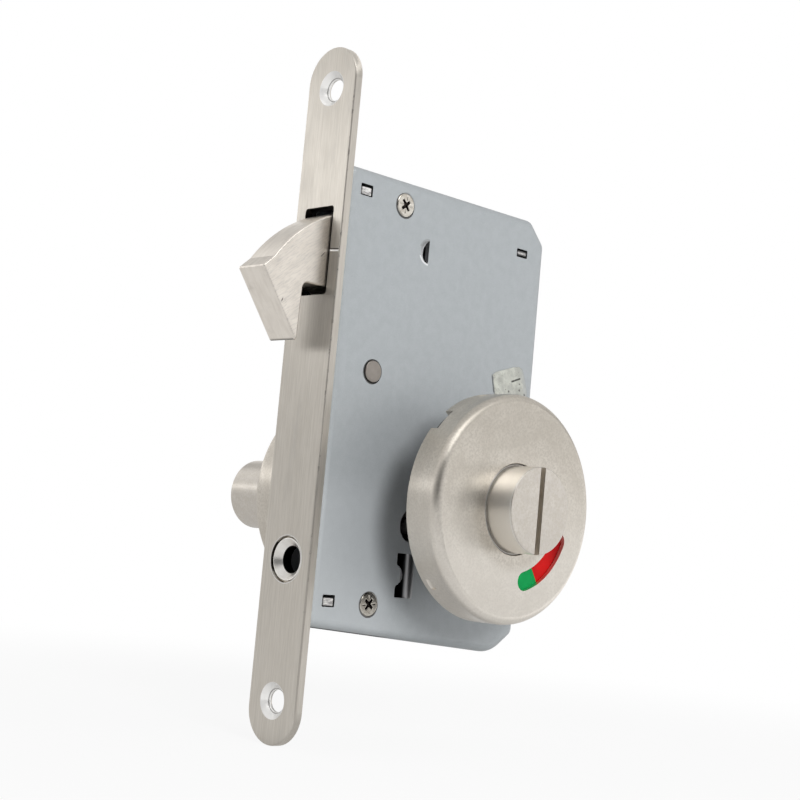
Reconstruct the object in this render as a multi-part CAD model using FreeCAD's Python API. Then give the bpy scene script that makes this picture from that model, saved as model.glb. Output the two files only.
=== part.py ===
import FreeCAD, Part
import math
import os

# Hook lock for a sliding door, with its two round roses, release knob and thumb turn.
# Millimetres. The origin is midway between the two faceplate screws, on the faceplate's back face,
# where it seats in the door's edge. The faceplate looks along -X, the case lies behind it along +X,
# and +Z is up.
# -Y is the outer side with the indicator window, +Y is the inner side with the thumb turn.

Vector = FreeCAD.Vector

# Running and fixed clearances
running_gap = 0.05
fitted_gap = 0.05
loose_gap = 0.3
cutter_run = 1.0

# Faceplate
faceplate_length = 157.6
faceplate_width = 16.0
faceplate_thickness = 2.0
faceplate_edge_round = 0.35
faceplate_screw_pitch = 138.2
faceplate_screw_hole_r = 2.45
faceplate_countersink_r = 4.05
hook_slot_bottom = 21.3
hook_slot_top = 41.5
hook_slot_half_width = 4.85
hook_slot_corner_r = 0.8
ferrule_z = -38.0
ferrule_flange_r = 4.8
ferrule_barrel_r = 3.9
ferrule_bore_r = 3.0
ferrule_sink = 0.35
ferrule_flange_thickness = 1.0
ferrule_flange_play = 0.4
ferrule_rim = 0.3
ferrule_clench_r = 4.6
ferrule_clench_length = 0.9

# Case
sheet = 1.2
case_half_thickness = 7.0
case_top = 51.5
case_bottom_front = -52.3
case_bottom_rear = -56.5
case_rear = 67.9
case_top_chamfer = (5.4, 5.4)
case_bottom_chamfer = (6.9, 5.0)
case_corner_r = 2.5
case_lowest_corner_r = 9.0
case_front_corner_r = 2.4
case_bend_r = 2.2
backplate_play = 0.1
flange_slot_margin = 0.05

# Screws, posts and folded legs that hold the case together
case_screw_places = ((18.1, 45.7), (17.9, -46.5))
case_screw_r = 1.5
case_screw_head_r = 2.9
case_screw_head_depth = 1.4
case_screw_length = 9.0
case_screw_recess_width = 0.85
case_screw_recess_length = 3.6
case_screw_recess_depth = 1.0
case_post_r = 3.2
case_post_spigot_r = 2.0
front_leg_size = (2.8, 1.7)
rear_leg_size = (3.0, 1.1)
leg_slot_margin = (0.45, 0.5)
leg_slot_lift = 0.2
leg_slot_corner_r = 0.3
leg_relief = 0.4
leg_end_sink = 0.1
upper_leg = (5.5, 46.2)
lower_leg = (5.5, -46.5)
rear_leg = (59.2, 42.4)

# Lances pressed in the near plate
dent_edge_x = 26.8
dent_z = 36.2
dent_half_height = 2.7
dent_depth = 2.0
window_left = 25.5
window_right = 30.7
window_bottom = -44.6
window_top = -34.4
window_ear_r = 2.1
window_ear_root_r = 0.9
tongue_bend_r = 1.8
tongue_depth = 4.2

# Hook, its pivot and its fork. Angles are in degrees in the XZ plane, from +X towards +Z.
pivot_x = 12.5
pivot_z = 5.9
pivot_pin_r = 3.5
pivot_spigot_r = 2.5
pivot_spigot_gap = 0.25
pivot_head_proud = 0.25
pivot_head_chamfer = 0.15
pivot_washer_r = 6.6
hook_half_thickness = 4.4
hook_outer_r = 36.45
hook_corner_r = 37.5
hook_corner_angle = 150.3
hook_crown_end_angle = 144.5
hook_rear_angle = 98.0
hook_tip_r = 21.5
hook_tip_angle = 171.0
hook_beak_inner_x = -8.3
hook_neck_bottom = 22.95
hook_throat_r = 1.5
hook_point_round = 0.5
hook_tip_round = 0.35
hook_boss_r = 9.5
hook_boss_end_angle = 5.0
hook_rear_waist_angle = 68.0
hook_heel_r = 4.0
hook_edge_round = 0.45
hook_swing = 40.0
relief_margin = 1.0
fork_low = -1.3
fork_high = 2.7
fork_end_r = 30.5
fork_prong_width = 3.2
fork_prong_tip_r = 1.4
fork_side_play = 1.25

# Hub, crank and detent. The backset runs from the faceplate's front to the hub's axis.
backset = 40.0
hub_z = -22.25
hub_turn = 90.0
hub_barrel_r = 7.5
hub_journal_r = 6.0
hub_journal_proud = 0.4
hub_end_play = 0.1
spindle_side = 6.0
crank_root_r = 4.3
crank_tip_r = 3.3
crank_low = -5.3
crank_high = -1.8
crank_pin_r = 1.5
crank_roller_r = 2.5
crank_head_thickness = 0.6
crank_roller_play = 0.1
detent_side_angle = -56.3
detent_flat_depth = 0.7
detent_flat_margin = 0.15
detent_spring_thickness = 0.5
detent_spring_low = 3.0
detent_spring_high = 5.4
detent_spring_tail = 9.0
detent_post_distance = 15.5
detent_post_r = 2.6

# Rose bolts
bolt_circle_r = 10.4
bolt_angle = 33.0
bolt_r = 1.95
bolt_case_hole_r = 3.9
bolt_head_r = 3.1
bolt_head_thickness = 2.0
bolt_insert_r = 3.1
bolt_end_gap = 0.6
bolt_recess_length = 4.0
bolt_recess_width = 1.0
bolt_recess_depth = 1.1

# Roses, clamped on the two faces of the door
door_thickness = 44.0
rose_r = 26.0
rose_height = 9.0
rose_edge_r = 2.0
rose_wall = 1.0
rose_opening_r = 10.35
rose_opening_lip_r = 0.2
pry_notch_angle = 135.5
pry_notch_width = 6.0
pry_notch_depth = 2.3
pry_notch_reach = 4.0
dimple_angles = (225.0, 345.0, 105.0)
dimple_length = 2.9
dimple_r = 0.9
dimple_depth = 0.45
dimple_from_back = 2.25
base_fit = 0.2
base_plate = 2.5
base_ring_wall = 2.0
base_ring_height = 5.0
base_boss_r = 9.4
bolt_boss_r = 4.3
bush_wall = 0.9
clip_thickness = 0.8
clip_r = 6.6
clip_groove_r = 5.0
clip_from_back = 0.5
clip_gap = 4.0

# Indicator, seen through a curved window in the outer rose
window_in_r = 14.35
window_out_r = 18.7
window_from = -74.0
window_to = -22.0
indicator_gap = 0.2
indicator_thickness = 1.2
indicator_rim = 0.8
colour_thickness = 0.4
colour_margin = 1.2
colour_border = -57.5
green_span = 118.0
red_span = 46.0

# Release knob and thumb turn
knob_r = 9.8
knob_proud = 7.0
knob_edge = 0.35
knob_shank_r = 6.0
knob_step_r = 8.0
coin_slot_width = 1.6
coin_slot_depth = 2.6
thumb_turn_r = 9.0
thumb_turn_proud = 30.8
thumb_turn_edge = 0.6
spindle_outer_reach = 12.0
spindle_inner_reach = 25.5
spindle_end_play = 0.5
spindle_chamfer = 0.4
grub_screw_r = 2.0
grub_screw_from_rose = 4.0
grub_screw_sink = 1.6
grub_socket_width = 2.0
grub_socket_depth = 1.5

# Blank inspection label, stuck on the near plate beside the rose
label_thickness = 0.15
label_corners = ((51.8, 11.0, 0.4), (58.0, 13.4, 1.2), (64.7, 13.4, 0.8), (64.9, 3.4, 0.4), (54.3, 2.6, 0.4))

# Values worked out from the ones above. Those of the roses run along Y from the middle of the case.
hub_x = backset - faceplate_thickness
rose_back = door_thickness / 2
rose_face = rose_back + rose_height
knob_front = rose_face + knob_proud
thumb_turn_end = rose_face + thumb_turn_proud
spindle_outer_end = rose_back + spindle_outer_reach
spindle_inner_end = rose_back + spindle_inner_reach
case_near = -case_half_thickness
near_inside = case_near + sheet
far_inside = case_half_thickness - sheet
pivot_bore_r = pivot_pin_r + running_gap
pivot = (pivot_x, pivot_z)
hub = (hub_x, hub_z)
fork_slot_r = crank_roller_r + fork_side_play
detent_low = detent_spring_low - detent_flat_margin
crank_pin_top = fork_high + loose_gap
indicator_back = rose_face - rose_wall - indicator_gap - colour_thickness - indicator_thickness
base_boss_top = indicator_back - loose_gap
colour_in_r = window_in_r - colour_margin
colour_out_r = window_out_r + colour_margin
indicator_r = colour_out_r + indicator_rim
opposite_bolt = bolt_angle + 180.0


def polar(centre, radius, angle):
    turn = math.radians(angle)
    return centre[0] + radius * math.cos(turn), centre[1] + radius * math.sin(turn)


def reach(first, second):
    return math.hypot(second[0] - first[0], second[1] - first[1])


def heading(first, second):
    return math.degrees(math.atan2(second[1] - first[1], second[0] - first[0]))


# The crank is as long as it takes to swing the hook fully in one turn of the hub, to both sides alike
half_swing = math.radians(hook_swing / 2)
half_turn = math.radians(hub_turn / 2)
crank_r = reach(hub, pivot) * math.tan(half_swing) / (
    math.sin(half_turn) + math.cos(half_turn) * math.tan(half_swing))
crank_angle = heading(hub, pivot) - hub_turn / 2
crank_pin_place = polar(hub, crank_r, crank_angle)
fork_angle = heading(pivot, crank_pin_place)
fork_inner_r = reach(pivot, hub) - crank_r
case_outline = (
    (0, case_top, case_front_corner_r),
    (case_rear - case_top_chamfer[0], case_top, case_corner_r),
    (case_rear, case_top - case_top_chamfer[1], case_corner_r),
    (case_rear, case_bottom_rear + case_bottom_chamfer[1], case_corner_r),
    (case_rear - case_bottom_chamfer[0], case_bottom_rear, case_lowest_corner_r),
    (0, case_bottom_front, case_front_corner_r),
)


def across(y):
    """Places flat coordinates (x, z) at one distance along Y."""
    return lambda a, b: Vector(a, y, b)


def upright(x):
    """Places flat coordinates (y, z) at one distance along X."""
    return lambda a, b: Vector(x, a, b)


def round_off(before, corner, after, radius):
    """Start, middle and end of the arc that rounds a corner between two straight lines."""
    point = Vector(corner[0], corner[1], 0)
    back = (Vector(before[0], before[1], 0) - point).normalize()
    ahead = (Vector(after[0], after[1], 0) - point).normalize()
    half = back.getAngle(ahead) / 2
    run = radius / math.tan(half)
    middle = point + (back + ahead).normalize() * (radius / math.sin(half) - radius)
    return point + back * run, middle, point + ahead * run


def rounded_face(corners, place):
    """A flat face from corners (a, b, radius), each rounded by its radius."""
    stops = []
    for index, (a, b, radius) in enumerate(corners):
        after = corners[(index + 1) % len(corners)]
        if radius > 0:
            stops.append(round_off(corners[index - 1], (a, b), after, radius))
        else:
            stops.append((Vector(a, b, 0), None, Vector(a, b, 0)))
    edges = []
    for index, (start, middle, end) in enumerate(stops):
        if middle is not None:
            arc = Part.Arc(place(start.x, start.y), place(middle.x, middle.y), place(end.x, end.y))
            edges.append(arc.toShape())
        following = stops[(index + 1) % len(stops)][0]
        if (following - end).Length > 1e-6:
            edges.append(Part.makeLine(place(end.x, end.y), place(following.x, following.y)))
    return Part.Face(Part.Wire(edges))


def inset(corners, distance):
    """The same outline moved inwards by a distance; the corners run clockwise in (x, z)."""
    count = len(corners)
    lines = []
    for index in range(count):
        x0, z0 = corners[index][:2]
        x1, z1 = corners[(index + 1) % count][:2]
        length = math.hypot(x1 - x0, z1 - z0)
        dx, dz = (x1 - x0) / length, (z1 - z0) / length
        lines.append((x0 + dz * distance, z0 - dx * distance, dx, dz))
    moved = []
    for index in range(count):
        ax, az, adx, adz = lines[index - 1]
        bx, bz, bdx, bdz = lines[index]
        step = ((bx - ax) * bdz - (bz - az) * bdx) / (adx * bdz - adz * bdx)
        radius = max(corners[index][2] - distance, 0.2)
        moved.append((ax + adx * step, az + adz * step, radius))
    return moved


def plate(corners, low, high):
    """An outline in (x, z), as thick as low to high along Y."""
    return rounded_face(corners, across(low)).extrude(Vector(0, high - low, 0))


def disc(centre, radius, low, high):
    """A cylinder along Y."""
    return Part.makeCylinder(radius, high - low, Vector(centre[0], low, centre[1]), Vector(0, 1, 0))


def cone(centre, low_r, high_r, low, high):
    """A cone along Y."""
    start = Vector(centre[0], low, centre[1])
    return Part.makeCone(low_r, high_r, high - low, start, Vector(0, 1, 0))


def block(x0, x1, y0, y1, z0, z1):
    return Part.makeBox(x1 - x0, y1 - y0, z1 - z0, Vector(x0, y0, z0))


def square_bar(centre, side, low, high):
    half = side / 2
    return block(centre[0] - half, centre[0] + half, low, high, centre[1] - half, centre[1] + half)


def turned(centre, side, corners):
    """A turned piece about Y: corners are (radius, distance from the case's middle, rounding)."""
    profile = rounded_face(corners, lambda r, d: Vector(centre[0] + r, side * d, centre[1]))
    return profile.revolve(Vector(centre[0], 0, centre[1]), Vector(0, 1, 0), 360)


def sided(side, first, second):
    """Low and high along Y for two distances on one side of the case."""
    return min(side * first, side * second), max(side * first, side * second)


def ring_slot(centre, in_r, out_r, start, end, low, high, round_ends):
    """A curved slot about a centre, with round or radial ends."""
    middle_r = (in_r + out_r) / 2
    half = (start + end) / 2
    place = across(low)

    def spot(radius, angle):
        return place(*polar(centre, radius, angle))

    edges = [Part.Arc(spot(out_r, start), spot(out_r, half), spot(out_r, end)).toShape()]
    swell = math.degrees((out_r - in_r) / 2 / middle_r)
    if round_ends:
        edges.append(Part.Arc(spot(out_r, end), spot(middle_r, end + swell), spot(in_r, end)).toShape())
    else:
        edges.append(Part.makeLine(spot(out_r, end), spot(in_r, end)))
    edges.append(Part.Arc(spot(in_r, end), spot(in_r, half), spot(in_r, start)).toShape())
    if round_ends:
        edges.append(Part.Arc(spot(in_r, start), spot(middle_r, start - swell), spot(out_r, start)).toShape())
    else:
        edges.append(Part.makeLine(spot(in_r, start), spot(out_r, start)))
    return Part.Face(Part.Wire(edges)).extrude(Vector(0, high - low, 0))


def link(first, first_r, second, second_r, low, high):
    """A flat link: two round ends joined by the straight lines that touch both."""
    along = heading(first, second)
    lean = math.degrees(math.acos((first_r - second_r) / reach(first, second)))
    place = across(low)

    def spot(centre, radius, angle):
        return place(*polar(centre, radius, angle))

    def round_end(centre, radius, start, middle, end):
        stops = [spot(centre, radius, angle) for angle in (start, middle, end)]
        return Part.Arc(*stops).toShape()

    left, right = along + lean, along - lean
    edges = [
        round_end(second, second_r, right, along, left),
        Part.makeLine(spot(second, second_r, left), spot(first, first_r, left)),
        round_end(first, first_r, left, along + 180, right),
        Part.makeLine(spot(first, first_r, right), spot(second, second_r, right)),
    ]
    return Part.Face(Part.Wire(edges)).extrude(Vector(0, high - low, 0))


def tilted(shape, centre, angle):
    """Turns a shape in the XZ plane, from +X towards +Z."""
    turned_shape = shape.copy()
    turned_shape.rotate(Vector(centre[0], 0, centre[1]), Vector(0, -1, 0), angle)
    return turned_shape


def edges_at(shape, test):
    """The edges whose every end point passes a test."""
    return [edge for edge in shape.Edges if all(test(vertex.Point) for vertex in edge.Vertexes)]


def group(solids):
    return Part.makeCompound(solids)


# Faceplate: a long strip with round ends, two countersunk screw holes and the hook's slot
def faceplate():
    front = -faceplate_thickness
    half_width = faceplate_width / 2
    half_length = faceplate_length / 2
    round_end = half_width - 0.01
    outline = [
        (-half_width, -half_length, round_end),
        (half_width, -half_length, round_end),
        (half_width, half_length, round_end),
        (-half_width, half_length, round_end),
    ]
    strip = rounded_face(outline, upright(front)).extrude(Vector(faceplate_thickness, 0, 0))
    strip = strip.makeFillet(faceplate_edge_round, edges_at(strip, lambda p: abs(p.x - front) < 1e-6))
    wide, narrow = faceplate_countersink_r, faceplate_screw_hole_r
    for side in (-1, 1):
        centre = Vector(front, 0, side * faceplate_screw_pitch / 2)
        strip = strip.cut(drilling(narrow, faceplate_thickness, centre))
        strip = strip.cut(Part.makeCone(wide, narrow, wide - narrow, centre, Vector(1, 0, 0)))
    strip = strip.cut(hook_slot(front, 0, 0))
    centre = Vector(front, 0, ferrule_z)
    seat_r = ferrule_flange_r + ferrule_flange_play
    strip = strip.cut(drilling(seat_r, ferrule_sink + ferrule_flange_thickness, centre))
    return strip.cut(drilling(ferrule_barrel_r, faceplate_thickness, centre))


def drilling(radius, depth, start):
    """A round hole's space, from a start along +X."""
    return Part.makeCylinder(radius, depth, start, Vector(1, 0, 0))


def hook_slot(start, end, margin):
    """The slot that the hook swings through, widened by a margin."""
    half = hook_slot_half_width + margin
    corner = hook_slot_corner_r + margin
    outline = [
        (-half, hook_slot_bottom - margin, corner),
        (half, hook_slot_bottom - margin, corner),
        (half, hook_slot_top + margin, corner),
        (-half, hook_slot_top + margin, corner),
    ]
    return rounded_face(outline, upright(start)).extrude(Vector(end - start, 0, 0))


# Ferrule: a turned eyelet that clenches the faceplate to the case's front wall
def faceplate_ferrule():
    front = ferrule_sink - faceplate_thickness
    flange_back = front + ferrule_flange_thickness
    flare = ferrule_flange_r - ferrule_rim - ferrule_bore_r
    end = sheet + ferrule_clench_length
    corners = [
        (front, ferrule_flange_r, 0.15),
        (flange_back, ferrule_flange_r, 0),
        (flange_back, ferrule_barrel_r, 0),
        (sheet, ferrule_barrel_r, 0),
        (sheet, ferrule_clench_r, 0.3),
        (end, ferrule_clench_r, 0.4),
        (end, ferrule_bore_r, 0),
        (front + flare, ferrule_bore_r, 0),
        (front, ferrule_bore_r + flare, 0),
    ]
    profile = rounded_face(corners, lambda x, r: Vector(x, 0, ferrule_z + r))
    return profile.revolve(Vector(0, 0, ferrule_z), Vector(1, 0, 0), 360)


# Case shell: a pressed pan with folded walls, lances, slots and holes
def case_shell():
    pan = plate(case_outline, case_near, case_half_thickness)
    pan = pan.makeFillet(case_bend_r, edges_at(pan, lambda p: abs(p.y - case_near) < 1e-6))
    hollow = plate(inset(case_outline, sheet), near_inside, case_half_thickness)
    hollow = hollow.makeFillet(case_bend_r - sheet, edges_at(hollow, lambda p: abs(p.y - near_inside) < 1e-6))
    pan = pan.cut(hollow)
    pan = pan.cut(hook_slot(0, sheet, flange_slot_margin))
    pan = pan.cut(drilling(ferrule_barrel_r, sheet, Vector(0, 0, ferrule_z)))
    pan = pan.cut(disc(pivot, pivot_spigot_r + pivot_spigot_gap, case_near, near_inside))
    pan = pan.cut(disc(hub, hub_journal_r + running_gap, case_near, near_inside))
    for angle in (bolt_angle, opposite_bolt):
        pan = pan.cut(disc(polar(hub, bolt_circle_r, angle), bolt_case_hole_r, case_near, near_inside))
    for place in case_screw_places:
        pan = pan.cut(screw_cavity(place))
    for centre, size, lift in legs():
        pan = pan.cut(leg_slot(centre, size, lift))
    pan = pan.cut(block(window_left, window_right, case_near, near_inside, window_bottom, window_top))
    pan = pan.fuse(window_ear()).fuse(window_tongue())
    pan = pan.cut(dent_ball(0, False))
    return pan.fuse(dent_lamella()).removeSplitter()


def screw_cavity(place):
    """Countersunk seat of a case screw, through the near plate and into its post."""
    wide = case_screw_head_r + fitted_gap
    narrow = case_screw_r + fitted_gap
    bottom = case_near + case_screw_head_depth
    seat = cone(place, wide, narrow, case_near, bottom)
    return seat.fuse(disc(place, narrow, bottom, case_near + case_screw_length + fitted_gap))


def legs():
    """Each folded leg's centre and size, and how far its slot lies above it."""
    return (
        (upper_leg, front_leg_size, leg_slot_lift),
        (lower_leg, front_leg_size, leg_slot_lift),
        (rear_leg, rear_leg_size, 0),
    )


def leg_slot(centre, size, lift):
    """Slot in the near plate that a folded leg's end stands in."""
    half_width = size[0] / 2 + leg_slot_margin[0]
    half_height = size[1] / 2 + leg_slot_margin[1]
    x, z = centre[0], centre[1] + lift
    corners = [
        (x - half_width, z - half_height, leg_slot_corner_r),
        (x + half_width, z - half_height, leg_slot_corner_r),
        (x + half_width, z + half_height, leg_slot_corner_r),
        (x - half_width, z + half_height, leg_slot_corner_r),
    ]
    return plate(corners, case_near, near_inside)


def window_ear():
    """The round ear of plate that is left on the window's near edge, with hollow roots."""
    middle = (window_bottom + window_top) / 2
    ear = disc((window_left, middle), window_ear_r, case_near, near_inside)
    half_root = window_ear_r + window_ear_root_r
    root = block(window_left, window_left + window_ear_root_r, case_near, near_inside,
                 middle - half_root, middle + half_root)
    for side in (-1, 1):
        hollow = (window_left + window_ear_root_r, middle + side * half_root)
        root = root.cut(disc(hollow, window_ear_root_r, case_near, near_inside))
    behind = block(window_left - window_ear_r, window_left, case_near, near_inside,
                   middle - window_ear_r, middle + window_ear_r)
    return ear.cut(behind).fuse(root)


def window_tongue():
    """The tongue of plate that is rolled inwards along the window's far edge."""
    bend_y = case_near + tongue_bend_r
    height = window_top - window_bottom
    bottom = Vector(window_right, bend_y, window_bottom)
    rolled = Part.makeCylinder(tongue_bend_r, height, bottom, Vector(0, 0, 1))
    rolled = rolled.cut(Part.makeCylinder(tongue_bend_r - sheet, height, bottom, Vector(0, 0, 1)))
    left = window_right - tongue_bend_r
    quarter = block(left, window_right, case_near, bend_y, window_bottom, window_top)
    tail = block(left, left + sheet, bend_y, case_near + tongue_depth + sheet, window_bottom, window_top)
    return rolled.common(quarter).fuse(tail)


def dent_ball(extra, keep_inside):
    """The half ball that the pressed dent follows, cut off along the sheared edge."""
    ball_r = (dent_half_height ** 2 + dent_depth ** 2) / (2 * dent_depth)
    middle = Vector(dent_edge_x, case_near + dent_depth - ball_r, dent_z)
    ball = Part.makeSphere(ball_r + extra, middle)
    reach_y = ball_r + extra
    low = middle.y - reach_y if keep_inside else case_near
    span = block(dent_edge_x - 2 * reach_y, dent_edge_x, max(low, case_near), middle.y + 2 * reach_y,
                 dent_z - 2 * reach_y, dent_z + 2 * reach_y)
    return ball.common(span)


def dent_lamella():
    """The dented sheet itself, one sheet thick."""
    return dent_ball(sheet, True).cut(dent_ball(0, False))


# Case backplate: the flat far plate, with three legs folded from its edge
def case_backplate():
    cover = plate(inset(case_outline, sheet + backplate_play), far_inside, case_half_thickness)
    cover = cover.cut(disc(pivot, pivot_spigot_r, far_inside, case_half_thickness))
    cover = cover.cut(disc(hub, hub_journal_r + running_gap, far_inside, case_half_thickness))
    for angle in (bolt_angle, opposite_bolt):
        place = polar(hub, bolt_circle_r, angle)
        cover = cover.cut(disc(place, bolt_case_hole_r, far_inside, case_half_thickness))
    for place in case_screw_places:
        cover = cover.cut(disc(place, case_post_spigot_r, far_inside, case_half_thickness))
    cover = cover.cut(disc(detent_post_place(), detent_post_r / 2, far_inside, case_half_thickness))
    for centre, size, lift in legs():
        x, z = centre
        width, thickness = size
        root = z + math.copysign(thickness / 2, z)
        edge = case_top if z > 0 else case_bottom_rear
        relief = width / 2 + leg_relief
        cover = cover.cut(block(x - relief, x + relief, far_inside, case_half_thickness,
                                min(root, edge), max(root, edge)))
        leg = block(x - width / 2, x + width / 2, case_near + leg_end_sink, case_half_thickness,
                    z - thickness / 2, z + thickness / 2)
        cover = cover.fuse(leg)
    return cover.removeSplitter()


# Case screws: countersunk, with a cross recess
def case_screws():
    screws = []
    for place in case_screw_places:
        bottom = case_near + case_screw_head_depth
        screw = cone(place, case_screw_head_r, case_screw_r, case_near, bottom)
        screw = screw.fuse(disc(place, case_screw_r, bottom, case_near + case_screw_length))
        for angle in (45, 135):
            arm = block(place[0] - case_screw_recess_length / 2, place[0] + case_screw_recess_length / 2,
                        case_near, case_near + case_screw_recess_depth,
                        place[1] - case_screw_recess_width / 2, place[1] + case_screw_recess_width / 2)
            screw = screw.cut(tilted(arm, place, angle))
        screws.append(screw.removeSplitter())
    return group(screws)


# Case posts: spacers riveted to the backplate, threaded for the case screws
def case_posts():
    posts = []
    for place in case_screw_places:
        post = disc(place, case_post_r, near_inside, far_inside)
        post = post.fuse(disc(place, case_post_spigot_r, far_inside, case_half_thickness))
        posts.append(post.cut(screw_cavity(place)).removeSplitter())
    return group(posts)


# Hook pivot pin: a shouldered rivet between the two plates
def hook_pivot_pin():
    near_end = case_half_thickness + pivot_head_proud
    pin = disc(pivot, pivot_pin_r, near_inside, far_inside)
    pin = pin.fuse(disc(pivot, pivot_spigot_r, -near_end, near_end)).removeSplitter()
    return pin.makeChamfer(pivot_head_chamfer, edges_at(pin, lambda p: abs(abs(p.y) - near_end) < 1e-6))


# Pivot washers: they keep the hook in the middle of the case
def pivot_washers():
    washers = []
    for side in (-1, 1):
        low, high = sided(side, hook_half_thickness + fitted_gap, far_inside)
        washers.append(disc(pivot, pivot_washer_r, low, high).cut(disc(pivot, pivot_pin_r, low, high)))
    return group(washers)


# Hook: blade, neck and boss in one thick profile, with a thinner forked tail
def hook_profile(low, high):
    place = across(low)

    def spot(point):
        return place(*point)

    def arc(start, middle, end):
        return Part.Arc(spot(start), spot(middle), spot(end)).toShape()

    corner = polar(pivot, hook_corner_r, hook_corner_angle)
    tip = polar(pivot, hook_tip_r, hook_tip_angle)
    beak_root = (hook_beak_inner_x, hook_neck_bottom)
    boss_left = pivot_x - hook_boss_r
    heel = (boss_left, hook_neck_bottom)
    boss_start = (boss_left, pivot_z)
    boss_end = polar(pivot, hook_boss_r, hook_boss_end_angle)
    rear_top = polar(pivot, hook_outer_r, hook_rear_angle)
    crown = polar(pivot, hook_outer_r, (hook_crown_end_angle + hook_rear_angle) / 2)
    crown_end = polar(pivot, hook_outer_r, hook_crown_end_angle)
    rear_middle = polar(pivot, (hook_outer_r + hook_boss_r) / 2, hook_rear_waist_angle)
    point = round_off(crown_end, corner, tip, hook_point_round)
    nose = round_off(corner, tip, beak_root, hook_tip_round)
    throat = round_off(tip, beak_root, heel, hook_throat_r)
    knee = round_off(beak_root, heel, boss_start, hook_heel_r)
    edges = [arc(rear_top, crown, crown_end)]
    last = crown_end
    for start, middle, end in (point, nose, throat, knee):
        edges.append(Part.makeLine(spot(last), spot((start.x, start.y))))
        edges.append(arc((start.x, start.y), (middle.x, middle.y), (end.x, end.y)))
        last = (end.x, end.y)
    edges.append(Part.makeLine(spot(last), spot(boss_start)))
    edges.append(arc(boss_start, polar(pivot, hook_boss_r, (180 + 360 + hook_boss_end_angle) / 2), boss_end))
    edges.append(arc(boss_end, rear_middle, rear_top))
    return Part.Face(Part.Wire(edges)).extrude(Vector(0, high - low, 0))


def fork_tail():
    """The forked tail, drawn along +X from the pivot and then turned to its angle."""
    half = fork_slot_r + fork_prong_width
    end = pivot_x + fork_end_r
    tail = plate([
        (pivot_x, pivot_z - half, 0),
        (end, pivot_z - half, fork_prong_tip_r),
        (end, pivot_z + half, fork_prong_tip_r),
        (pivot_x, pivot_z + half, 0),
    ], fork_low, fork_high)
    slot_centre = (pivot_x + fork_inner_r, pivot_z)
    tail = tail.cut(disc(slot_centre, fork_slot_r, fork_low, fork_high))
    tail = tail.cut(block(slot_centre[0], end, fork_low, fork_high,
                          pivot_z - fork_slot_r, pivot_z + fork_slot_r))
    return tilted(tail, pivot, fork_angle)


def hook_bolt():
    blade = hook_profile(-hook_half_thickness, hook_half_thickness)
    for side in (-1, 1):
        face_y = side * hook_half_thickness
        blade = blade.makeFillet(hook_edge_round, edges_at(blade, lambda p: abs(p.y - face_y) < 1e-6))
    hook = blade.fuse(fork_tail())
    hook = hook.cut(disc(pivot, pivot_bore_r, -hook_half_thickness, hook_half_thickness))
    dent_reach = dent_half_height + sheet
    relief_in_r = reach(pivot, (dent_edge_x, dent_z - dent_reach)) - relief_margin
    relief_start = heading(pivot, (dent_edge_x, dent_z))
    relief_end = heading(pivot, (dent_edge_x - dent_reach, dent_z)) + hook_swing
    relief = ring_slot(pivot, relief_in_r, hook_corner_r + relief_margin, relief_start, relief_end,
                       -hook_half_thickness, case_near + dent_depth + sheet + loose_gap, False)
    return hook.cut(relief).removeSplitter()


# Hub: it carries the spindle, runs in both plates and swings the crank
def hub_body():
    end = case_half_thickness + hub_journal_proud
    body = disc(hub, hub_journal_r, -end, end)
    body = body.fuse(disc(hub, hub_barrel_r, near_inside + hub_end_play, crank_high))
    body = body.fuse(disc(hub, hub_barrel_r, detent_low, far_inside - hub_end_play))
    body = body.fuse(link(hub, crank_root_r, crank_pin_place, crank_tip_r, crank_low, crank_high))
    body = body.cut(disc(crank_pin_place, crank_pin_r, crank_low, crank_high))
    flat_x = hub_x + hub_barrel_r - detent_flat_depth
    for angle in (detent_side_angle, detent_side_angle - hub_turn):
        shaving = block(flat_x, hub_x + hub_barrel_r + cutter_run,
                        detent_low, far_inside - hub_end_play,
                        hub_z - hub_barrel_r, hub_z + hub_barrel_r)
        body = body.cut(tilted(shaving, hub, angle))
    return body.cut(square_bar(hub, spindle_side + 2 * fitted_gap, -end, end)).removeSplitter()


# Crank pin and the roller that runs in the hook's fork
def crank_pin():
    pin = disc(crank_pin_place, crank_pin_r, crank_low, crank_pin_top)
    head_r = crank_roller_r - loose_gap
    head = disc(crank_pin_place, head_r, crank_pin_top, crank_pin_top + crank_head_thickness)
    return pin.fuse(head).removeSplitter()


def crank_roller():
    low = crank_high + crank_roller_play
    high = crank_pin_top - running_gap
    roller = disc(crank_pin_place, crank_roller_r, low, high)
    return roller.cut(disc(crank_pin_place, crank_pin_r + running_gap, low, high))


# Detent: a leaf spring that bears on one of the hub's two flats, held in a slotted post
def detent_line():
    """Middle of the leaf spring beside the hub, and the direction that it runs in."""
    gap = hub_barrel_r - detent_flat_depth + fitted_gap
    return gap, detent_side_angle + 90


def detent_post_place():
    gap, along = detent_line()
    beside = polar(hub, gap + detent_spring_thickness / 2, detent_side_angle)
    return polar(beside, detent_post_distance, along)


def leaf(extra, low, high):
    """The leaf, drawn beside the hub and turned to the detent's side."""
    gap, along = detent_line()
    leaf_bar = block(hub_x + gap - extra, hub_x + gap + detent_spring_thickness + extra, low, high,
                     hub_z - detent_spring_tail, hub_z + detent_post_distance + detent_post_r / 2)
    return tilted(leaf_bar, hub, detent_side_angle)


def detent_spring():
    return leaf(0, detent_spring_low, detent_spring_high)


def detent_post():
    place = detent_post_place()
    post = disc(place, detent_post_r, near_inside, far_inside)
    post = post.fuse(disc(place, detent_post_r / 2, far_inside, case_half_thickness))
    return post.cut(leaf(0, detent_spring_low, far_inside)).removeSplitter()


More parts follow.
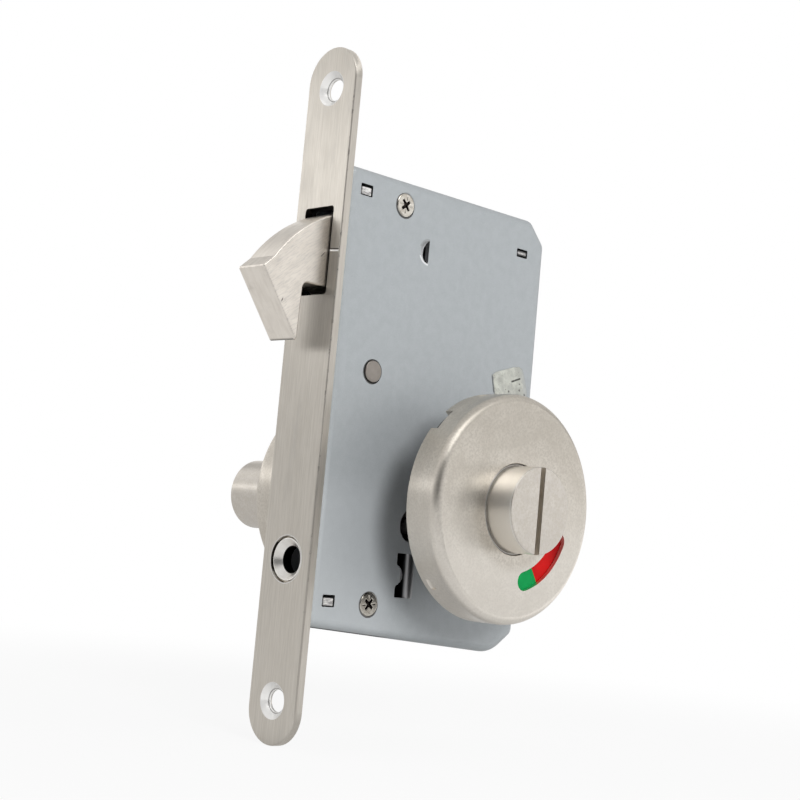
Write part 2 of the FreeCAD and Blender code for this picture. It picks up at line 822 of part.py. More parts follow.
# Spindle: one square bar from the release knob to the thumb turn
def spindle():
    bar = square_bar(hub, spindle_side, -spindle_outer_end, spindle_inner_end)
    ends = edges_at(bar, lambda p: p.y > 0) + edges_at(bar, lambda p: p.y < 0)
    return bar.makeChamfer(spindle_chamfer, ends)


# Roses: a pressed cover over a base, the same on both sides but for the window
def rose_cover(side):
    cup = turned(hub, side, [
        (rose_opening_r, rose_face, rose_opening_lip_r),
        (rose_r, rose_face, rose_edge_r),
        (rose_r, rose_back, 0.2),
        (rose_r - rose_wall, rose_back, 0.2),
        (rose_r - rose_wall, rose_face - rose_wall, 0.3),
        (rose_opening_r, rose_face - rose_wall, 0),
    ])
    low, high = sided(side, rose_back - cutter_run, rose_back + pry_notch_depth)
    notch = block(hub_x + rose_r - pry_notch_reach, hub_x + rose_r + cutter_run, low, high,
                  hub_z - pry_notch_width / 2, hub_z + pry_notch_width / 2)
    cup = cup.cut(tilted(notch, hub, pry_notch_angle))
    for angle in dimple_angles:
        cup = cup.cut(dimple(side, angle, 0)).fuse(
            dimple(side, angle, rose_wall).common(rose_inside()).cut(dimple(side, angle, 0)))
    return cup.removeSplitter()


def rose_inside():
    """The space inside the cover's wall, down to where a pressed dimple may stand in."""
    return disc(hub, rose_r - rose_wall + 0.05, -rose_face, rose_face).cut(
        disc(hub, rose_r - rose_wall - dimple_depth, -rose_face, rose_face))


def dimple(side, angle, extra):
    """A short bar laid along the rim, sunk by the dimple's depth."""
    middle = rose_r - dimple_depth + dimple_r
    y = side * (rose_back + dimple_from_back)
    start = Vector(hub_x + middle, y, hub_z - dimple_length / 2)
    bar = Part.makeCylinder(dimple_r + extra, dimple_length, start, Vector(0, 0, 1))
    return tilted(bar, hub, angle)


def outer_rose_cover():
    cup = rose_cover(-1)
    window = ring_slot(hub, window_in_r, window_out_r, window_from, window_to,
                       -rose_face - cutter_run, -rose_face + rose_wall + cutter_run, True)
    return cup.cut(window)


def rose_base(side):
    outer = rose_r - rose_wall - base_fit
    ring_top = rose_back + base_ring_height
    plate_top = rose_back + base_plate
    groove = rose_back + dimple_from_back
    bush_r = knob_shank_r + running_gap + bush_wall
    base = turned(hub, side, [
        (bush_r, rose_back, 0),
        (outer, rose_back, 0.3),
        (outer, groove - dimple_r, 0),
        (outer - dimple_depth, groove - dimple_r, 0),
        (outer - dimple_depth, groove + dimple_r, 0),
        (outer, groove + dimple_r, 0),
        (outer, ring_top, 0.4),
        (outer - base_ring_wall, ring_top, 0.3),
        (outer - base_ring_wall, plate_top, 0.5),
        (base_boss_r, plate_top, 0.3),
        (base_boss_r, base_boss_top, 0.3),
        (bush_r, base_boss_top, 0),
    ])
    low, high = sided(side, rose_back, base_boss_top)
    for angle in (bolt_angle, opposite_bolt):
        place = polar(hub, bolt_circle_r, angle)
        base = base.fuse(disc(place, bolt_boss_r, low, high))
    return base.cut(disc(hub, bush_r, low, high))


def outer_rose_base():
    base = rose_base(-1)
    low, high = sided(-1, rose_back, base_boss_top)
    for angle in (bolt_angle, opposite_bolt):
        base = base.cut(disc(polar(hub, bolt_circle_r, angle), bolt_insert_r, low, high))
    return base.cut(disc(hub, knob_shank_r + running_gap + bush_wall, low, high)).removeSplitter()


def inner_rose_base():
    base = rose_base(1)
    for angle in (bolt_angle, opposite_bolt):
        place = polar(hub, bolt_circle_r, angle)
        base = base.cut(disc(place, bolt_r + loose_gap, rose_back, base_boss_top))
        head_low = base_boss_top - bolt_head_thickness
        base = base.cut(disc(place, bolt_head_r + fitted_gap, head_low, base_boss_top))
    return base.removeSplitter()


def rose_bush(side):
    """Plain bush between a rose's base and the shank that turns in it."""
    bore = knob_shank_r + running_gap
    start = rose_back + clip_from_back + clip_thickness + loose_gap
    return turned(hub, side, [
        (bore, start, 0),
        (bore + bush_wall, start, 0),
        (bore + bush_wall, base_boss_top, 0),
        (bore, base_boss_top, 0.2),
    ])


# Threaded inserts in the outer base, and the two long bolts that clamp the roses on the door
def bolt_inserts():
    low, high = sided(-1, rose_back + fitted_gap, base_boss_top)
    inserts = []
    for angle in (bolt_angle, opposite_bolt):
        place = polar(hub, bolt_circle_r, angle)
        inserts.append(disc(place, bolt_insert_r, low, high).cut(disc(place, bolt_r, low, high)))
    return group(inserts)


def rose_bolts():
    bolts = []
    head_low = base_boss_top - bolt_head_thickness
    for angle in (bolt_angle, opposite_bolt):
        place = polar(hub, bolt_circle_r, angle)
        bolt = disc(place, bolt_r, -base_boss_top + bolt_end_gap, head_low)
        bolt = bolt.fuse(disc(place, bolt_head_r, head_low, base_boss_top)).removeSplitter()
        for turn in (0, 90):
            arm = block(place[0] - bolt_recess_length / 2, place[0] + bolt_recess_length / 2,
                        base_boss_top - bolt_recess_depth, base_boss_top,
                        place[1] - bolt_recess_width / 2, place[1] + bolt_recess_width / 2)
            bolt = bolt.cut(tilted(arm, place, turn))
        bolts.append(bolt)
    return group(bolts)


# Indicator: a disc behind the window, with a green and a red colour plate
def indicator_disc():
    low, high = sided(-1, indicator_back, indicator_back + indicator_thickness)
    return disc(hub, indicator_r, low, high).cut(disc(hub, knob_step_r, low, high))


def colour_plate(start, end):
    back = indicator_back + indicator_thickness
    return ring_slot(hub, colour_in_r, colour_out_r, start, end, -back - colour_thickness, -back, False)


def indicator_green():
    return colour_plate(colour_border - green_span, colour_border)


def indicator_red():
    return colour_plate(colour_border, colour_border + red_span)


# Release knob: round, with a coin slot across its face
def shank(head_r, step):
    """Shank that turns in a rose's bush, with the groove for its clip."""
    clip_start = rose_back + clip_from_back
    return [
        (0, rose_back, 0),
        (knob_shank_r, rose_back, 0.25),
        (knob_shank_r, clip_start, 0),
        (clip_groove_r, clip_start, 0),
        (clip_groove_r, clip_start + clip_thickness, 0),
        (knob_shank_r, clip_start + clip_thickness, 0),
        (knob_shank_r, indicator_back, 0),
        (step, indicator_back, 0),
        (step, indicator_back + indicator_thickness, 0),
        (head_r, indicator_back + indicator_thickness, 0),
    ]


def release_knob():
    knob = turned(hub, -1, shank(knob_r, knob_step_r) + [
        (knob_r, knob_front, knob_edge),
        (0, knob_front, 0),
    ])
    slot = block(hub_x - coin_slot_width / 2, hub_x + coin_slot_width / 2, -knob_front,
                 -knob_front + coin_slot_depth, hub_z - knob_r, hub_z + knob_r)
    knob = knob.cut(slot)
    socket = square_bar(hub, spindle_side + 2 * fitted_gap, -spindle_outer_end - spindle_end_play, -rose_back)
    return knob.cut(socket).removeSplitter()


# Thumb turn: a plain cylinder, locked on the spindle by a grub screw
def thumb_turn():
    knob = turned(hub, 1, shank(thumb_turn_r, knob_step_r) + [
        (thumb_turn_r, thumb_turn_end, thumb_turn_edge),
        (0, thumb_turn_end, 0),
    ])
    socket = square_bar(hub, spindle_side + 2 * fitted_gap, rose_back, spindle_inner_end + spindle_end_play)
    knob = knob.cut(socket)
    start = Vector(hub_x, rose_face + grub_screw_from_rose, hub_z)
    hole = Part.makeCylinder(grub_screw_r, thumb_turn_r, start, Vector(0, 0, -1))
    return knob.cut(hole).removeSplitter()


def grub_screw():
    y = rose_face + grub_screw_from_rose
    length = thumb_turn_r - grub_screw_sink - spindle_side / 2
    start = Vector(hub_x, y, hub_z - spindle_side / 2)
    screw = Part.makeCylinder(grub_screw_r, length, start, Vector(0, 0, -1))
    half = grub_socket_width / 2
    bottom = hub_z - spindle_side / 2 - length
    socket = block(hub_x - half, hub_x + half, y - half, y + half, bottom, bottom + grub_socket_depth)
    return screw.cut(socket)


def clip(side):
    """Open spring ring in a shank's groove."""
    low, high = sided(side, rose_back + clip_from_back, rose_back + clip_from_back + clip_thickness)
    ring = disc(hub, clip_r, low, high).cut(disc(hub, clip_groove_r, low, high))
    mouth = block(hub_x - clip_gap / 2, hub_x + clip_gap / 2, low, high, hub_z - clip_r, hub_z)
    return ring.cut(mouth)


# Inspection label: a thin blank sticker
def inspection_label():
    return plate(label_corners, case_near - label_thickness, case_near)


nodes = {
    "faceplate": faceplate,
    "faceplate_ferrule": faceplate_ferrule,
    "case_shell": case_shell,
    "case_backplate": case_backplate,
    "case_screws": case_screws,
    "case_posts": case_posts,
    "hook_pivot_pin": hook_pivot_pin,
    "pivot_washers": pivot_washers,
    "hook_bolt": hook_bolt,
    "hub_crank": hub_body,
    "crank_pin": crank_pin,
    "crank_roller": crank_roller,
    "detent_spring": detent_spring,
    "detent_post": detent_post,
    "spindle": spindle,
    "outer_rose_cover": outer_rose_cover,
    "outer_rose_base": outer_rose_base,
    "outer_rose_bush": lambda: rose_bush(-1),
    "outer_clip": lambda: clip(-1),
    "inner_rose_cover": lambda: rose_cover(1),
    "inner_rose_base": inner_rose_base,
    "inner_rose_bush": lambda: rose_bush(1),
    "inner_clip": lambda: clip(1),
    "bolt_inserts": bolt_inserts,
    "rose_bolts": rose_bolts,
    "indicator_disc": indicator_disc,
    "indicator_green": indicator_green,
    "indicator_red": indicator_red,
    "release_knob": release_knob,
    "thumb_turn": thumb_turn,
    "grub_screw": grub_screw,
    "inspection_label": inspection_label,
}

os.makedirs("parts", exist_ok=True)
for name, make in nodes.items():
    shape = make()
    if not shape.isValid():
        print("not valid:", name)
    shape.exportStep(os.path.join("parts", name + ".step"))
    box = shape.BoundBox
    print("%-18s %2d solids %9.1f mm3  x %.1f %.1f  y %.1f %.1f  z %.1f %.1f" % (
        name, len(shape.Solids), shape.Volume, box.XMin, box.XMax, box.YMin, box.YMax, box.ZMin, box.ZMax))
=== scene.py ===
import math

import bmesh
import bpy
from mathutils import Matrix, Vector, noise


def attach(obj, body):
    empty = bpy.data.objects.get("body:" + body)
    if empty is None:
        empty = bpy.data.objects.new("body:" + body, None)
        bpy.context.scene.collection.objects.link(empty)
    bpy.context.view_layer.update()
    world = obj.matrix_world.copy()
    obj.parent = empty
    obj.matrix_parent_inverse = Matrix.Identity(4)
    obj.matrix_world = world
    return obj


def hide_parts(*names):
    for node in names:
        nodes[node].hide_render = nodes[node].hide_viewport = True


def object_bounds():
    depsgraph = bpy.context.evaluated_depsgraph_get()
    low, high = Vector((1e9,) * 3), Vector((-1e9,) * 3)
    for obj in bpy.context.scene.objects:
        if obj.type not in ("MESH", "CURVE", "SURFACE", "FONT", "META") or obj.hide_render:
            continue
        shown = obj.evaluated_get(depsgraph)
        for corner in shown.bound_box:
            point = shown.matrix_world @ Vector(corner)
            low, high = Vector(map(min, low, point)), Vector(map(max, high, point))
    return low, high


# Hook lock for a sliding door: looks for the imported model, in its own frame, in metres
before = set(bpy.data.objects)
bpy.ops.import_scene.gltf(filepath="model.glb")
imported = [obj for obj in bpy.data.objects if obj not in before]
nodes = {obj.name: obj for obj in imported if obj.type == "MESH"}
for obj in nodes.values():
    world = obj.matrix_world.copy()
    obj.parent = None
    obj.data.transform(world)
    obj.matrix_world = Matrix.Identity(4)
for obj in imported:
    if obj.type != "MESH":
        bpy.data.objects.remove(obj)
cadLow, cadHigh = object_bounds()
mm = 0.001
hubX, hubZ = 38.0 * mm, -22.25 * mm      # the roses' axis, which runs along Y
print("frame loaded,", len(nodes), "nodes")


# nodes as Python expressions
class Wire:
    # one output socket of a node tree; each sum with it adds a Math node
    def __init__(self, graph, socket):
        self.graph = graph
        self.socket = socket

    def reckon(self, operation, first, second):
        return self.graph.node("ShaderNodeMath", {"operation": operation}, {0: first, 1: second})

    def __add__(self, other):
        return self.reckon("ADD", self, other)

    def __radd__(self, other):
        return self.reckon("ADD", other, self)

    def __sub__(self, other):
        return self.reckon("SUBTRACT", self, other)

    def __rsub__(self, other):
        return self.reckon("SUBTRACT", other, self)

    def __mul__(self, other):
        return self.reckon("MULTIPLY", self, other)

    def __rmul__(self, other):
        return self.reckon("MULTIPLY", other, self)

    def __abs__(self):
        return self.graph.node("ShaderNodeMath", {"operation": "ABSOLUTE"}, {0: self})


class Graph:
    # a material's or the world's node tree
    def __init__(self, tree):
        self.tree = tree
        tree.nodes.clear()

    def node(self, kind, settings=None, sockets=None, out=0):
        made = self.tree.nodes.new(kind)
        for name, value in (settings or {}).items():
            setattr(made, name, value)
        for key, value in (sockets or {}).items():
            if isinstance(value, Wire):
                self.tree.links.new(value.socket, made.inputs[key])
            else:
                made.inputs[key].default_value = value
        return Wire(self, made.outputs[out]) if len(made.outputs) else None

    def spot(self):
        # the surface's own place, in metres
        return self.node("ShaderNodeTexCoord", out="Object")

    def vector(self, operation, first, second=None, out=0):
        sockets = {0: first} if second is None else {0: first, 1: second}
        return self.node("ShaderNodeVectorMath", {"operation": operation}, sockets, out)

    def distance(self, first, second):
        return self.vector("DISTANCE", first, second, "Value")

    def dot(self, first, second):
        return self.vector("DOT_PRODUCT", first, second, "Value")

    def scaled(self, place, factors):
        return self.vector("MULTIPLY", place, factors)

    def split(self, place):
        owner = self.node("ShaderNodeSeparateXYZ", {}, {0: place}).socket.node
        return [Wire(self, owner.outputs[axis]) for axis in range(3)]

    def ramp(self, value, low, high):
        # 0 below low, 1 above high, smooth between them
        return self.node("ShaderNodeMapRange", {"interpolation_type": "SMOOTHSTEP"},
                         {"Value": value, "From Min": low, "From Max": high})

    def band(self, value, centre, half, soft):
        # 1 within half of centre, 0 beyond half + soft
        return 1 - self.ramp(abs(value - centre), half, half + soft)

    def noise(self, place, scale=None, detail=2.0, roughness=0.5, fourth=None):
        # scale has a factor for each axis
        settings = {} if fourth is None else {"noise_dimensions": "4D"}
        sockets = {"Vector": place if scale is None else self.scaled(place, scale), "Scale": 1.0,
                   "Detail": detail, "Roughness": roughness}
        if fourth is not None:
            sockets["W"] = fourth
        return self.node("ShaderNodeTexNoise", settings, sockets)

    def tint(self, colour, value, edges, depth, second):
        # second comes over colour where value is high
        return self.mix(self.ramp(value, *edges) * depth, colour, second)

    def mix(self, share, first, second):
        return self.node("ShaderNodeMix", {"data_type": "RGBA"}, {0: share, 6: first, 7: second}, 2)

    def blend(self, share, first, second):
        return self.node("ShaderNodeMixShader", {}, {0: share, 1: first, 2: second})


def newMaterial(name):
    material = bpy.data.materials.new(name)
    material.use_nodes = True
    return material, Graph(material.node_tree)


def close(graph, sockets, height=None, relief=0.0, depth=0.0):
    # shader and output; height is the relief that a bump makes, depth its size in metres
    if height is not None:
        sockets["Normal"] = graph.node("ShaderNodeBump", {}, {"Strength": relief, "Distance": depth,
                                                              "Height": height})
    shader = graph.node("ShaderNodeBsdfPrincipled", {}, sockets)
    graph.node("ShaderNodeOutputMaterial", {}, {"Surface": shader})


def addObject(name, data):
    made = bpy.data.objects.new(name, data)
    bpy.context.scene.collection.objects.link(made)
    return made


def pieceFrom(form, name, rounded):
    # object made from a bmesh, with smooth or flat shading
    mesh = bpy.data.meshes.new(name)
    form.to_mesh(mesh)
    form.free()
    mesh.polygons.foreach_set("use_smooth", [rounded] * len(mesh.polygons))
    return addObject(name, mesh)


# camera, at the photograph's place
cameraLook = {
    "place": (-0.2288715, -0.2675043, -0.0345199),
    "right": (0.726866, -0.680541, 0.092358),
    "up": (-0.132654, -0.007173, 0.991136),
    "back": (-0.673846, -0.732675, -0.095490),
    "lens": 70.8628, "sensor": 36.0, "nearest": 0.01,
    "shift": (0.04413, -0.00155),
}
cameraData = bpy.data.cameras.new("photoCamera")
cameraData.lens = cameraLook["lens"]
cameraData.sensor_width = cameraLook["sensor"]
cameraData.shift_x, cameraData.shift_y = cameraLook["shift"]
cameraData.clip_start = cameraLook["nearest"]
camera = addObject("photoCamera", cameraData)
turned = Matrix((cameraLook["right"], cameraLook["up"], cameraLook["back"])).transposed()
camera.matrix_world = Matrix.Translation(cameraLook["place"]) @ turned.to_4x4()
bpy.context.scene.camera = camera
bpy.context.scene.view_settings.view_transform = "Standard"
print("camera placed")

# studio: pale floor, white tent with brighter and darker parts for the polished surfaces, two large lamps
studioLook = {
    "floorSize": 3.0,
    "floorGap": 0.02,                 # under the lock, in mm
    "floorColour": (0.88, 0.88, 0.88, 1.0),
    "lockPlace": (0.035, 0.01, 0),    # middle of the lock on the floor
    "shadeShare": 0.10,               # how strongly the floor shows the lock's shadow
    "shadeEdge": (0.10, 0.34),        # and how far it reaches from that place
    "mirrorShare": 0.9,               # how much of what polished surfaces see of the floor is set here
    "farFloor": 0.73,                 # level on the thumb turn's side
    "nearFloor": 1.38,                # level on the other side, over the two edges below
    "nearAcross": (-0.045, 0.015),
    "nearAlong": (0.1, 0.3),
    "dimFloor": (                     # place, edge and level of the darker parts, the last one a painted shadow under the lock
        ((0.36, -0.50, 0.0), (0.24, 0.38), 0.40),
        ((0.035, 0.01, 0.0), (0.022, 0.06), 0.40),
    ),
    "tentLight": 0.38,                # what the tent gives to matt surfaces
    "tentLevel": 0.70,                # what polished surfaces see of it
    "lobes": (                        # towards, start, full, step in level
        ((-0.16, -0.67, 0.72), 0.94, 0.99, 2.60),
        ((0.24, 0.77, 0.59), 0.972, 0.997, -0.34),
        ((0.52, 0.74, 0.40), 0.95, 0.995, 0.45),
        ((-0.20, 0.84, 0.50), 0.93, 0.99, 0.45),
        ((-0.66, -0.74, 0.12), 0.74, 0.94, -0.67),
        ((0.90, -0.43, -0.03), 0.95, 0.985, 0.50),
        ((0.79, -0.61, -0.02), 0.989, 0.9985, 0.75),
    ),
    "belts": (                        # height, half, soft edge, step, middle of a bright belt
        (0.222, 0.02, 0.05, 1.50, (-0.65, 0.76, 0)),
        (0.225, 0.03, 0.06, 0.62, (0.66, -0.75, 0)),
    ),
    "beltEdge": (0.72, 0.9),
    "lamps": (                        # place, width, watts
        ((-0.42, -1.08, 0.34), 0.42, 9.4),
        ((0.55, -0.60, 0.85), 0.9, 1.2),
    ),
}


def rays(graph):
    # camera rays, and rays off polished or clear surfaces
    path = graph.node("ShaderNodeLightPath", out="Is Camera Ray")
    outputs = path.socket.node.outputs
    return path, Wire(graph, outputs["Is Glossy Ray"]) + Wire(graph, outputs["Is Transmission Ray"])


def buildFloor(look):
    size = look["floorSize"]
    mesh = bpy.data.meshes.new("floor")
    corners = [(-size, -size, 0), (size, -size, 0), (size, size, 0), (-size, size, 0)]
    mesh.from_pydata(corners, [], [(0, 1, 2, 3)])
    floor = addObject("floor", mesh)
    floor.location = (0, 0, cadLow.z - look["floorGap"] * mm)
    material, graph = newMaterial("paleFloor")
    fromCamera, polished = rays(graph)
    spot = graph.spot()
    x, y = graph.split(spot)[:2]

    def glow(level):
        return graph.node("ShaderNodeEmission", {}, {"Color": (1, 1, 1, 1), "Strength": level})

    near = graph.ramp(x + y, *look["nearAcross"]) * graph.ramp(x - y, *look["nearAlong"])
    mirrored = graph.blend(near, glow(look["farFloor"]), glow(look["nearFloor"]))
    # darker parts of the floor's glow, the last one a painted shadow under the lock
    for place, edge, level in look["dimFloor"]:
        mirrored = graph.blend(graph.ramp(graph.distance(spot, place), *edge), glow(level), mirrored)
    matt = graph.node("ShaderNodeBsdfDiffuse", {}, {"Color": look["floorColour"]})
    seen = graph.blend(polished * look["mirrorShare"], matt, mirrored)
    shade = 1 - graph.ramp(graph.distance(spot, look["lockPlace"]), *look["shadeEdge"])
    seen = graph.blend(fromCamera * (1 - shade * look["shadeShare"]), seen, glow(1.0))
    graph.node("ShaderNodeOutputMaterial", {}, {"Surface": seen})
    mesh.materials.append(material)


def buildTent(look):
    world = bpy.data.worlds.new("tent")
    world.use_nodes = True
    bpy.context.scene.world = world
    graph = Graph(world.node_tree)
    towards = graph.node("ShaderNodeTexCoord", out="Generated")
    level = look["tentLevel"]
    for axis, start, full, step in look["lobes"]:
        level = graph.ramp(graph.dot(towards, Vector(axis).normalized()), start, full) * step + level
    z = graph.split(towards)[2]
    for height, half, soft, step, middle in look["belts"]:
        beside = graph.ramp(graph.dot(towards, middle), *look["beltEdge"])
        level = graph.band(z, height, half, soft) * beside * step + level
    fromCamera, polished = rays(graph)

    def sky(strength):
        return graph.node("ShaderNodeBackground", {}, {"Color": (1, 1, 1, 1), "Strength": strength})

    seen = graph.blend(polished, sky(look["tentLight"]), sky(level))
    seen = graph.blend(fromCamera, seen, sky(1.0))
    graph.node("ShaderNodeOutputWorld", {}, {"Surface": seen})


def buildLamps(look):
    for index, (place, width, watts) in enumerate(look["lamps"]):
        lamp = bpy.data.lights.new(f"lamp{index}", "AREA")
        lamp.shape = "DISK"
        lamp.size = width
        lamp.energy = watts
        holder = addObject(f"lamp{index}", lamp)
        holder.location = place
        holder.rotation_euler = (-Vector(place)).to_track_quat("-Z", "Y").to_euler()
        holder.visible_glossy = False


buildFloor(studioLook)
buildTent(studioLook)
buildLamps(studioLook)
print("studio built")


# finishes
shows = {                             # the part of each noise's range over which it comes in
    "bands": (0.3, 0.7), "smudge": (0.52, 0.78), "flecks": (0.38, 0.66),
    "fineStreaks": (0.44, 0.64), "broadStreaks": (0.45, 0.72),
    "turnedSmudge": (0.5, 0.75), "turnedFlecks": (0.36, 0.68), "tone": (0.25, 0.75),
    "cloud": (0.3, 0.72), "rolled": (0.62, 0.74), "sheetGrain": (0.40, 0.62), "tear": (0.38, 0.62),
    "labelTone": (0.3, 0.7), "labelSpecks": (0.62, 0.70), "screwTone": (0.35, 0.7),
}
lineDepth = (0.3 * mm, 0.1 * mm)      # how far below its face a scratch or seam still shows, and its fade


def brushed(name, look):
    # straight brushing: grain is the fine lines' scale on each axis, bands the broad ones'
    material, graph = newMaterial(name)
    spot = graph.spot()
    grain = graph.noise(spot, look["grain"], detail=3.0, roughness=0.65)
    bands = graph.noise(spot, look["bands"])
    smudge = graph.noise(spot, look["smudge"], detail=4.0, roughness=0.6)
    colour = graph.mix(graph.ramp(bands, *shows["bands"]), look["colour"], look["shade"])
    colour = graph.tint(colour, smudge, shows["smudge"], look["smudgeDepth"], look["smudgeColour"])
    rough = look["rough"] + grain * look["roughGrain"] + smudge * look["roughSmudge"]
    if "marks" in look:
        colour = addMarks(graph, spot, colour, look["marks"])
    height = grain * look["grainShare"] + bands * (1 - look["grainShare"])
    if "flecks" in look:
        fleck = graph.noise(spot, look["flecks"], roughness=0.6)
        colour = graph.tint(colour, fleck, shows["flecks"], look["fleckDepth"], look["fleckColour"])
    metal = 1.0
    if "sinks" in look:
        colour, rough, bright = addSinks(graph, spot, colour, rough, look["sinks"])
        # a matt white share in the countersinks: painted sheen
        metal = 1 - bright * look["sinks"]["paintedSheenShare"]
    if "streaks" in look:
        colour, height = addStreaks(graph, spot, colour, height, look["streaks"])
    for line in look.get("lines", ()):
        colour, mask = addLine(graph, spot, colour, line)
        # a painted highlight line is matt white, not metal
        if line.get("paintedHighlight"):
            metal = metal - mask
    colour = addPatches(graph, spot, colour, look.get("patches", ()))
    close(graph, {"Base Color": colour, "Metallic": metal, "Roughness": rough,
                  "Anisotropic": look.get("stretch", 0.0)},
          height, look["relief"], look["depth"])
    return material


def addStreaks(graph, spot, colour, height, streaks):
    # fine slanting grinding lines on the two flat faces across Y
    lean = math.radians(streaks["lean"])
    along = graph.dot(spot, (math.cos(lean), 0, math.sin(lean)))
    across = graph.dot(spot, (-math.sin(lean), 0, math.cos(lean)))
    place = graph.node("ShaderNodeCombineXYZ", {}, {0: along, 1: across})
    fine = graph.noise(place, streaks["fine"], detail=3.0, roughness=0.62)
    broad = graph.noise(place, streaks["broad"])
    flat = graph.ramp(abs(graph.split(spot)[1]), *streaks["face"])
    dark = graph.ramp(fine, *shows["fineStreaks"]) * streaks["fineShare"] \
        + graph.ramp(broad, *shows["broadStreaks"]) * (1 - streaks["fineShare"])
    colour = graph.mix(dark * flat * streaks["depth"], colour, streaks["colour"])
    return colour, height + fine * flat * streaks["height"]


def addMarks(graph, spot, colour, marks):
    # small dark nicks along one edge, given by the two faces that meet there
    across, height, along = marks["axes"]
    parts = graph.split(spot)
    near = graph.band(parts[across], marks["edge"][0], 0.0, marks["width"])
    front = graph.band(parts[height], marks["edge"][1], 0.0, marks["width"])
    spots = graph.noise(spot, marks["scale"], detail=3.0, roughness=0.7)
    fewer = graph.ramp(parts[along], marks["most"], marks["least"]) * marks["fade"]
    hit = graph.ramp(spots - fewer, *marks["shows"])
    return graph.mix(near * front * hit * marks["strength"], colour, marks["colour"])


def addSinks(graph, spot, colour, rough, sinks):
    # the two countersinks are turned bright, and a matt white share paints in more of their sheen; a ring of
    # painted shade lies low in each
    x, y, z = graph.split(spot)
    off = abs(z) - sinks["z"]
    radius = graph.node("ShaderNodeMath", {"operation": "SQRT"}, {0: y * y + off * off})
    inside = (1 - graph.ramp(radius, *sinks["rim"])) * (1 - graph.ramp(x, *sinks["bottom"]))
    ring = graph.band(radius, *sinks["ring"]) * sinks["paintedRingShadeShare"]
    colour = graph.mix(inside, colour, sinks["colour"])
    colour = graph.mix(ring, colour, sinks["paintedRingShade"])
    return colour, rough - inside * sinks["smoother"], inside * (1 - ring)


def patch(low, high, soft, share, colour=None, ring=None):
    # a box, a ring, or both, in mm; soft is the fade outside, None leaves that side of the box open,
    # and ring is the flat that it lies in, its centre and its two radii
    return {"low": low, "high": high, "soft": soft, "share": share, "colour": colour, "ring": ring}


def patchMask(graph, spot, look):
    mask = look["share"]
    soft = look["soft"] * mm
    for part, low, high in zip(graph.split(spot), look["low"], look["high"]):
        if low is not None:
            mask = graph.band(part, (low + high) / 2 * mm, (high - low) / 2 * mm, soft) * mask
    if look["ring"]:
        flat, centre, inner, outer = look["ring"]
        middle = tuple(value * mm * keep for value, keep in zip(centre, flat))
        radius = graph.distance(graph.scaled(spot, flat), middle)
        mask = graph.band(radius, (inner + outer) / 2 * mm, (outer - inner) / 2 * mm, soft) * mask
    return mask


def addPatches(graph, spot, colour, patches):
    for look in patches:
        colour = graph.mix(patchMask(graph, spot, look), colour, look["colour"])
    return colour


def addLine(graph, spot, colour, line):
    # one straight scratch or seam: across is the flat direction over it, along the one beside it
    parts = graph.split(spot)
    lean = parts[line["along"]] * line["lean"]
    across = graph.band(parts[line["across"]] - lean, line["place"], line["half"], line["soft"])
    along = graph.band(parts[line["along"]], line["middle"], line["reach"], line["fade"])
    axis, level = line["face"]
    face = graph.band(parts[axis], level, *lineDepth)
    mask = across * along * face * line["strength"]
    return graph.mix(mask, colour, line["colour"]), mask


def turnedFinish(name, look):
    # brushing that runs round the axis of the roses
    material, graph = newMaterial(name)
    spot = graph.spot()
    flat = graph.scaled(graph.vector("SUBTRACT", spot, (hubX, 0, hubZ)), (1, 0, 1))
    radius = graph.vector("LENGTH", flat, out="Value")
    outward = graph.vector("NORMALIZE", flat)
    height = graph.scaled(spot, (0, 1, 0))

    def ring(turns, rise, spread):
        facing = graph.scaled(outward, (turns, 0, turns))
        place = graph.vector("ADD", facing, graph.scaled(height, (0, rise, 0)))
        return graph.noise(place, detail=3.0, roughness=0.6, fourth=radius * spread)

    grain = ring(*look["grain"])
    bands = ring(*look["bands"])
    mottle = graph.noise(spot, look["mottle"], detail=4.0, roughness=0.62)
    smudge = graph.noise(spot, look["smudge"], detail=3.0, roughness=0.6)
    colour = graph.mix(graph.ramp(bands, *shows["bands"]), look["colour"], look["shade"])
    colour = graph.tint(colour, smudge, shows["turnedSmudge"], look["smudgeDepth"], look["smudgeColour"])
    fleck = graph.noise(spot, look["flecks"], roughness=0.6)
    colour = graph.tint(colour, fleck, shows["turnedFlecks"], look["fleckDepth"], look["fleckColour"])
    rough = look["rough"] + grain * look["roughGrain"] + mottle * look["roughMottle"]
    x, y, z = graph.split(spot)
    face = graph.ramp(radius, *look["faceR"]) * (1 - graph.ramp(y, *look["faceY"]))
    # painted light on the outer rose's face towards its foot, painted shade towards its top
    polished = (1 - graph.ramp(z, *look["paintedFootLightZ"])) * face * look["paintedFootLightShare"]
    colour = graph.mix(polished, colour, look["polished"])
    paintedTopShade = graph.ramp(z, *look["paintedTopShadeZ"]) * face * look["paintedTopShadeShare"]
    colour = graph.mix(paintedTopShade, colour, look["paintedTopShade"])
    if "sideY" in look:
        turnedSide = graph.band(y, *look["sideY"]) * graph.ramp(radius, *look["sideR"])
        colour = graph.mix(turnedSide, colour, look["sideColour"])
    if "slotX" in look:
        # painted light on the walls of the knob's slot
        slotWalls = graph.band(x, *look["slotX"]) * graph.band(y, *look["slotY"])
        colour = graph.mix(slotWalls, colour, look["paintedSlotLight"])
    close(graph, {"Base Color": colour, "Metallic": 1.0, "Roughness": rough, "Anisotropic": look["stretch"]},
          grain * look["grainShare"] + mottle * (1 - look["grainShare"]), look["relief"], look["depth"])
    return material


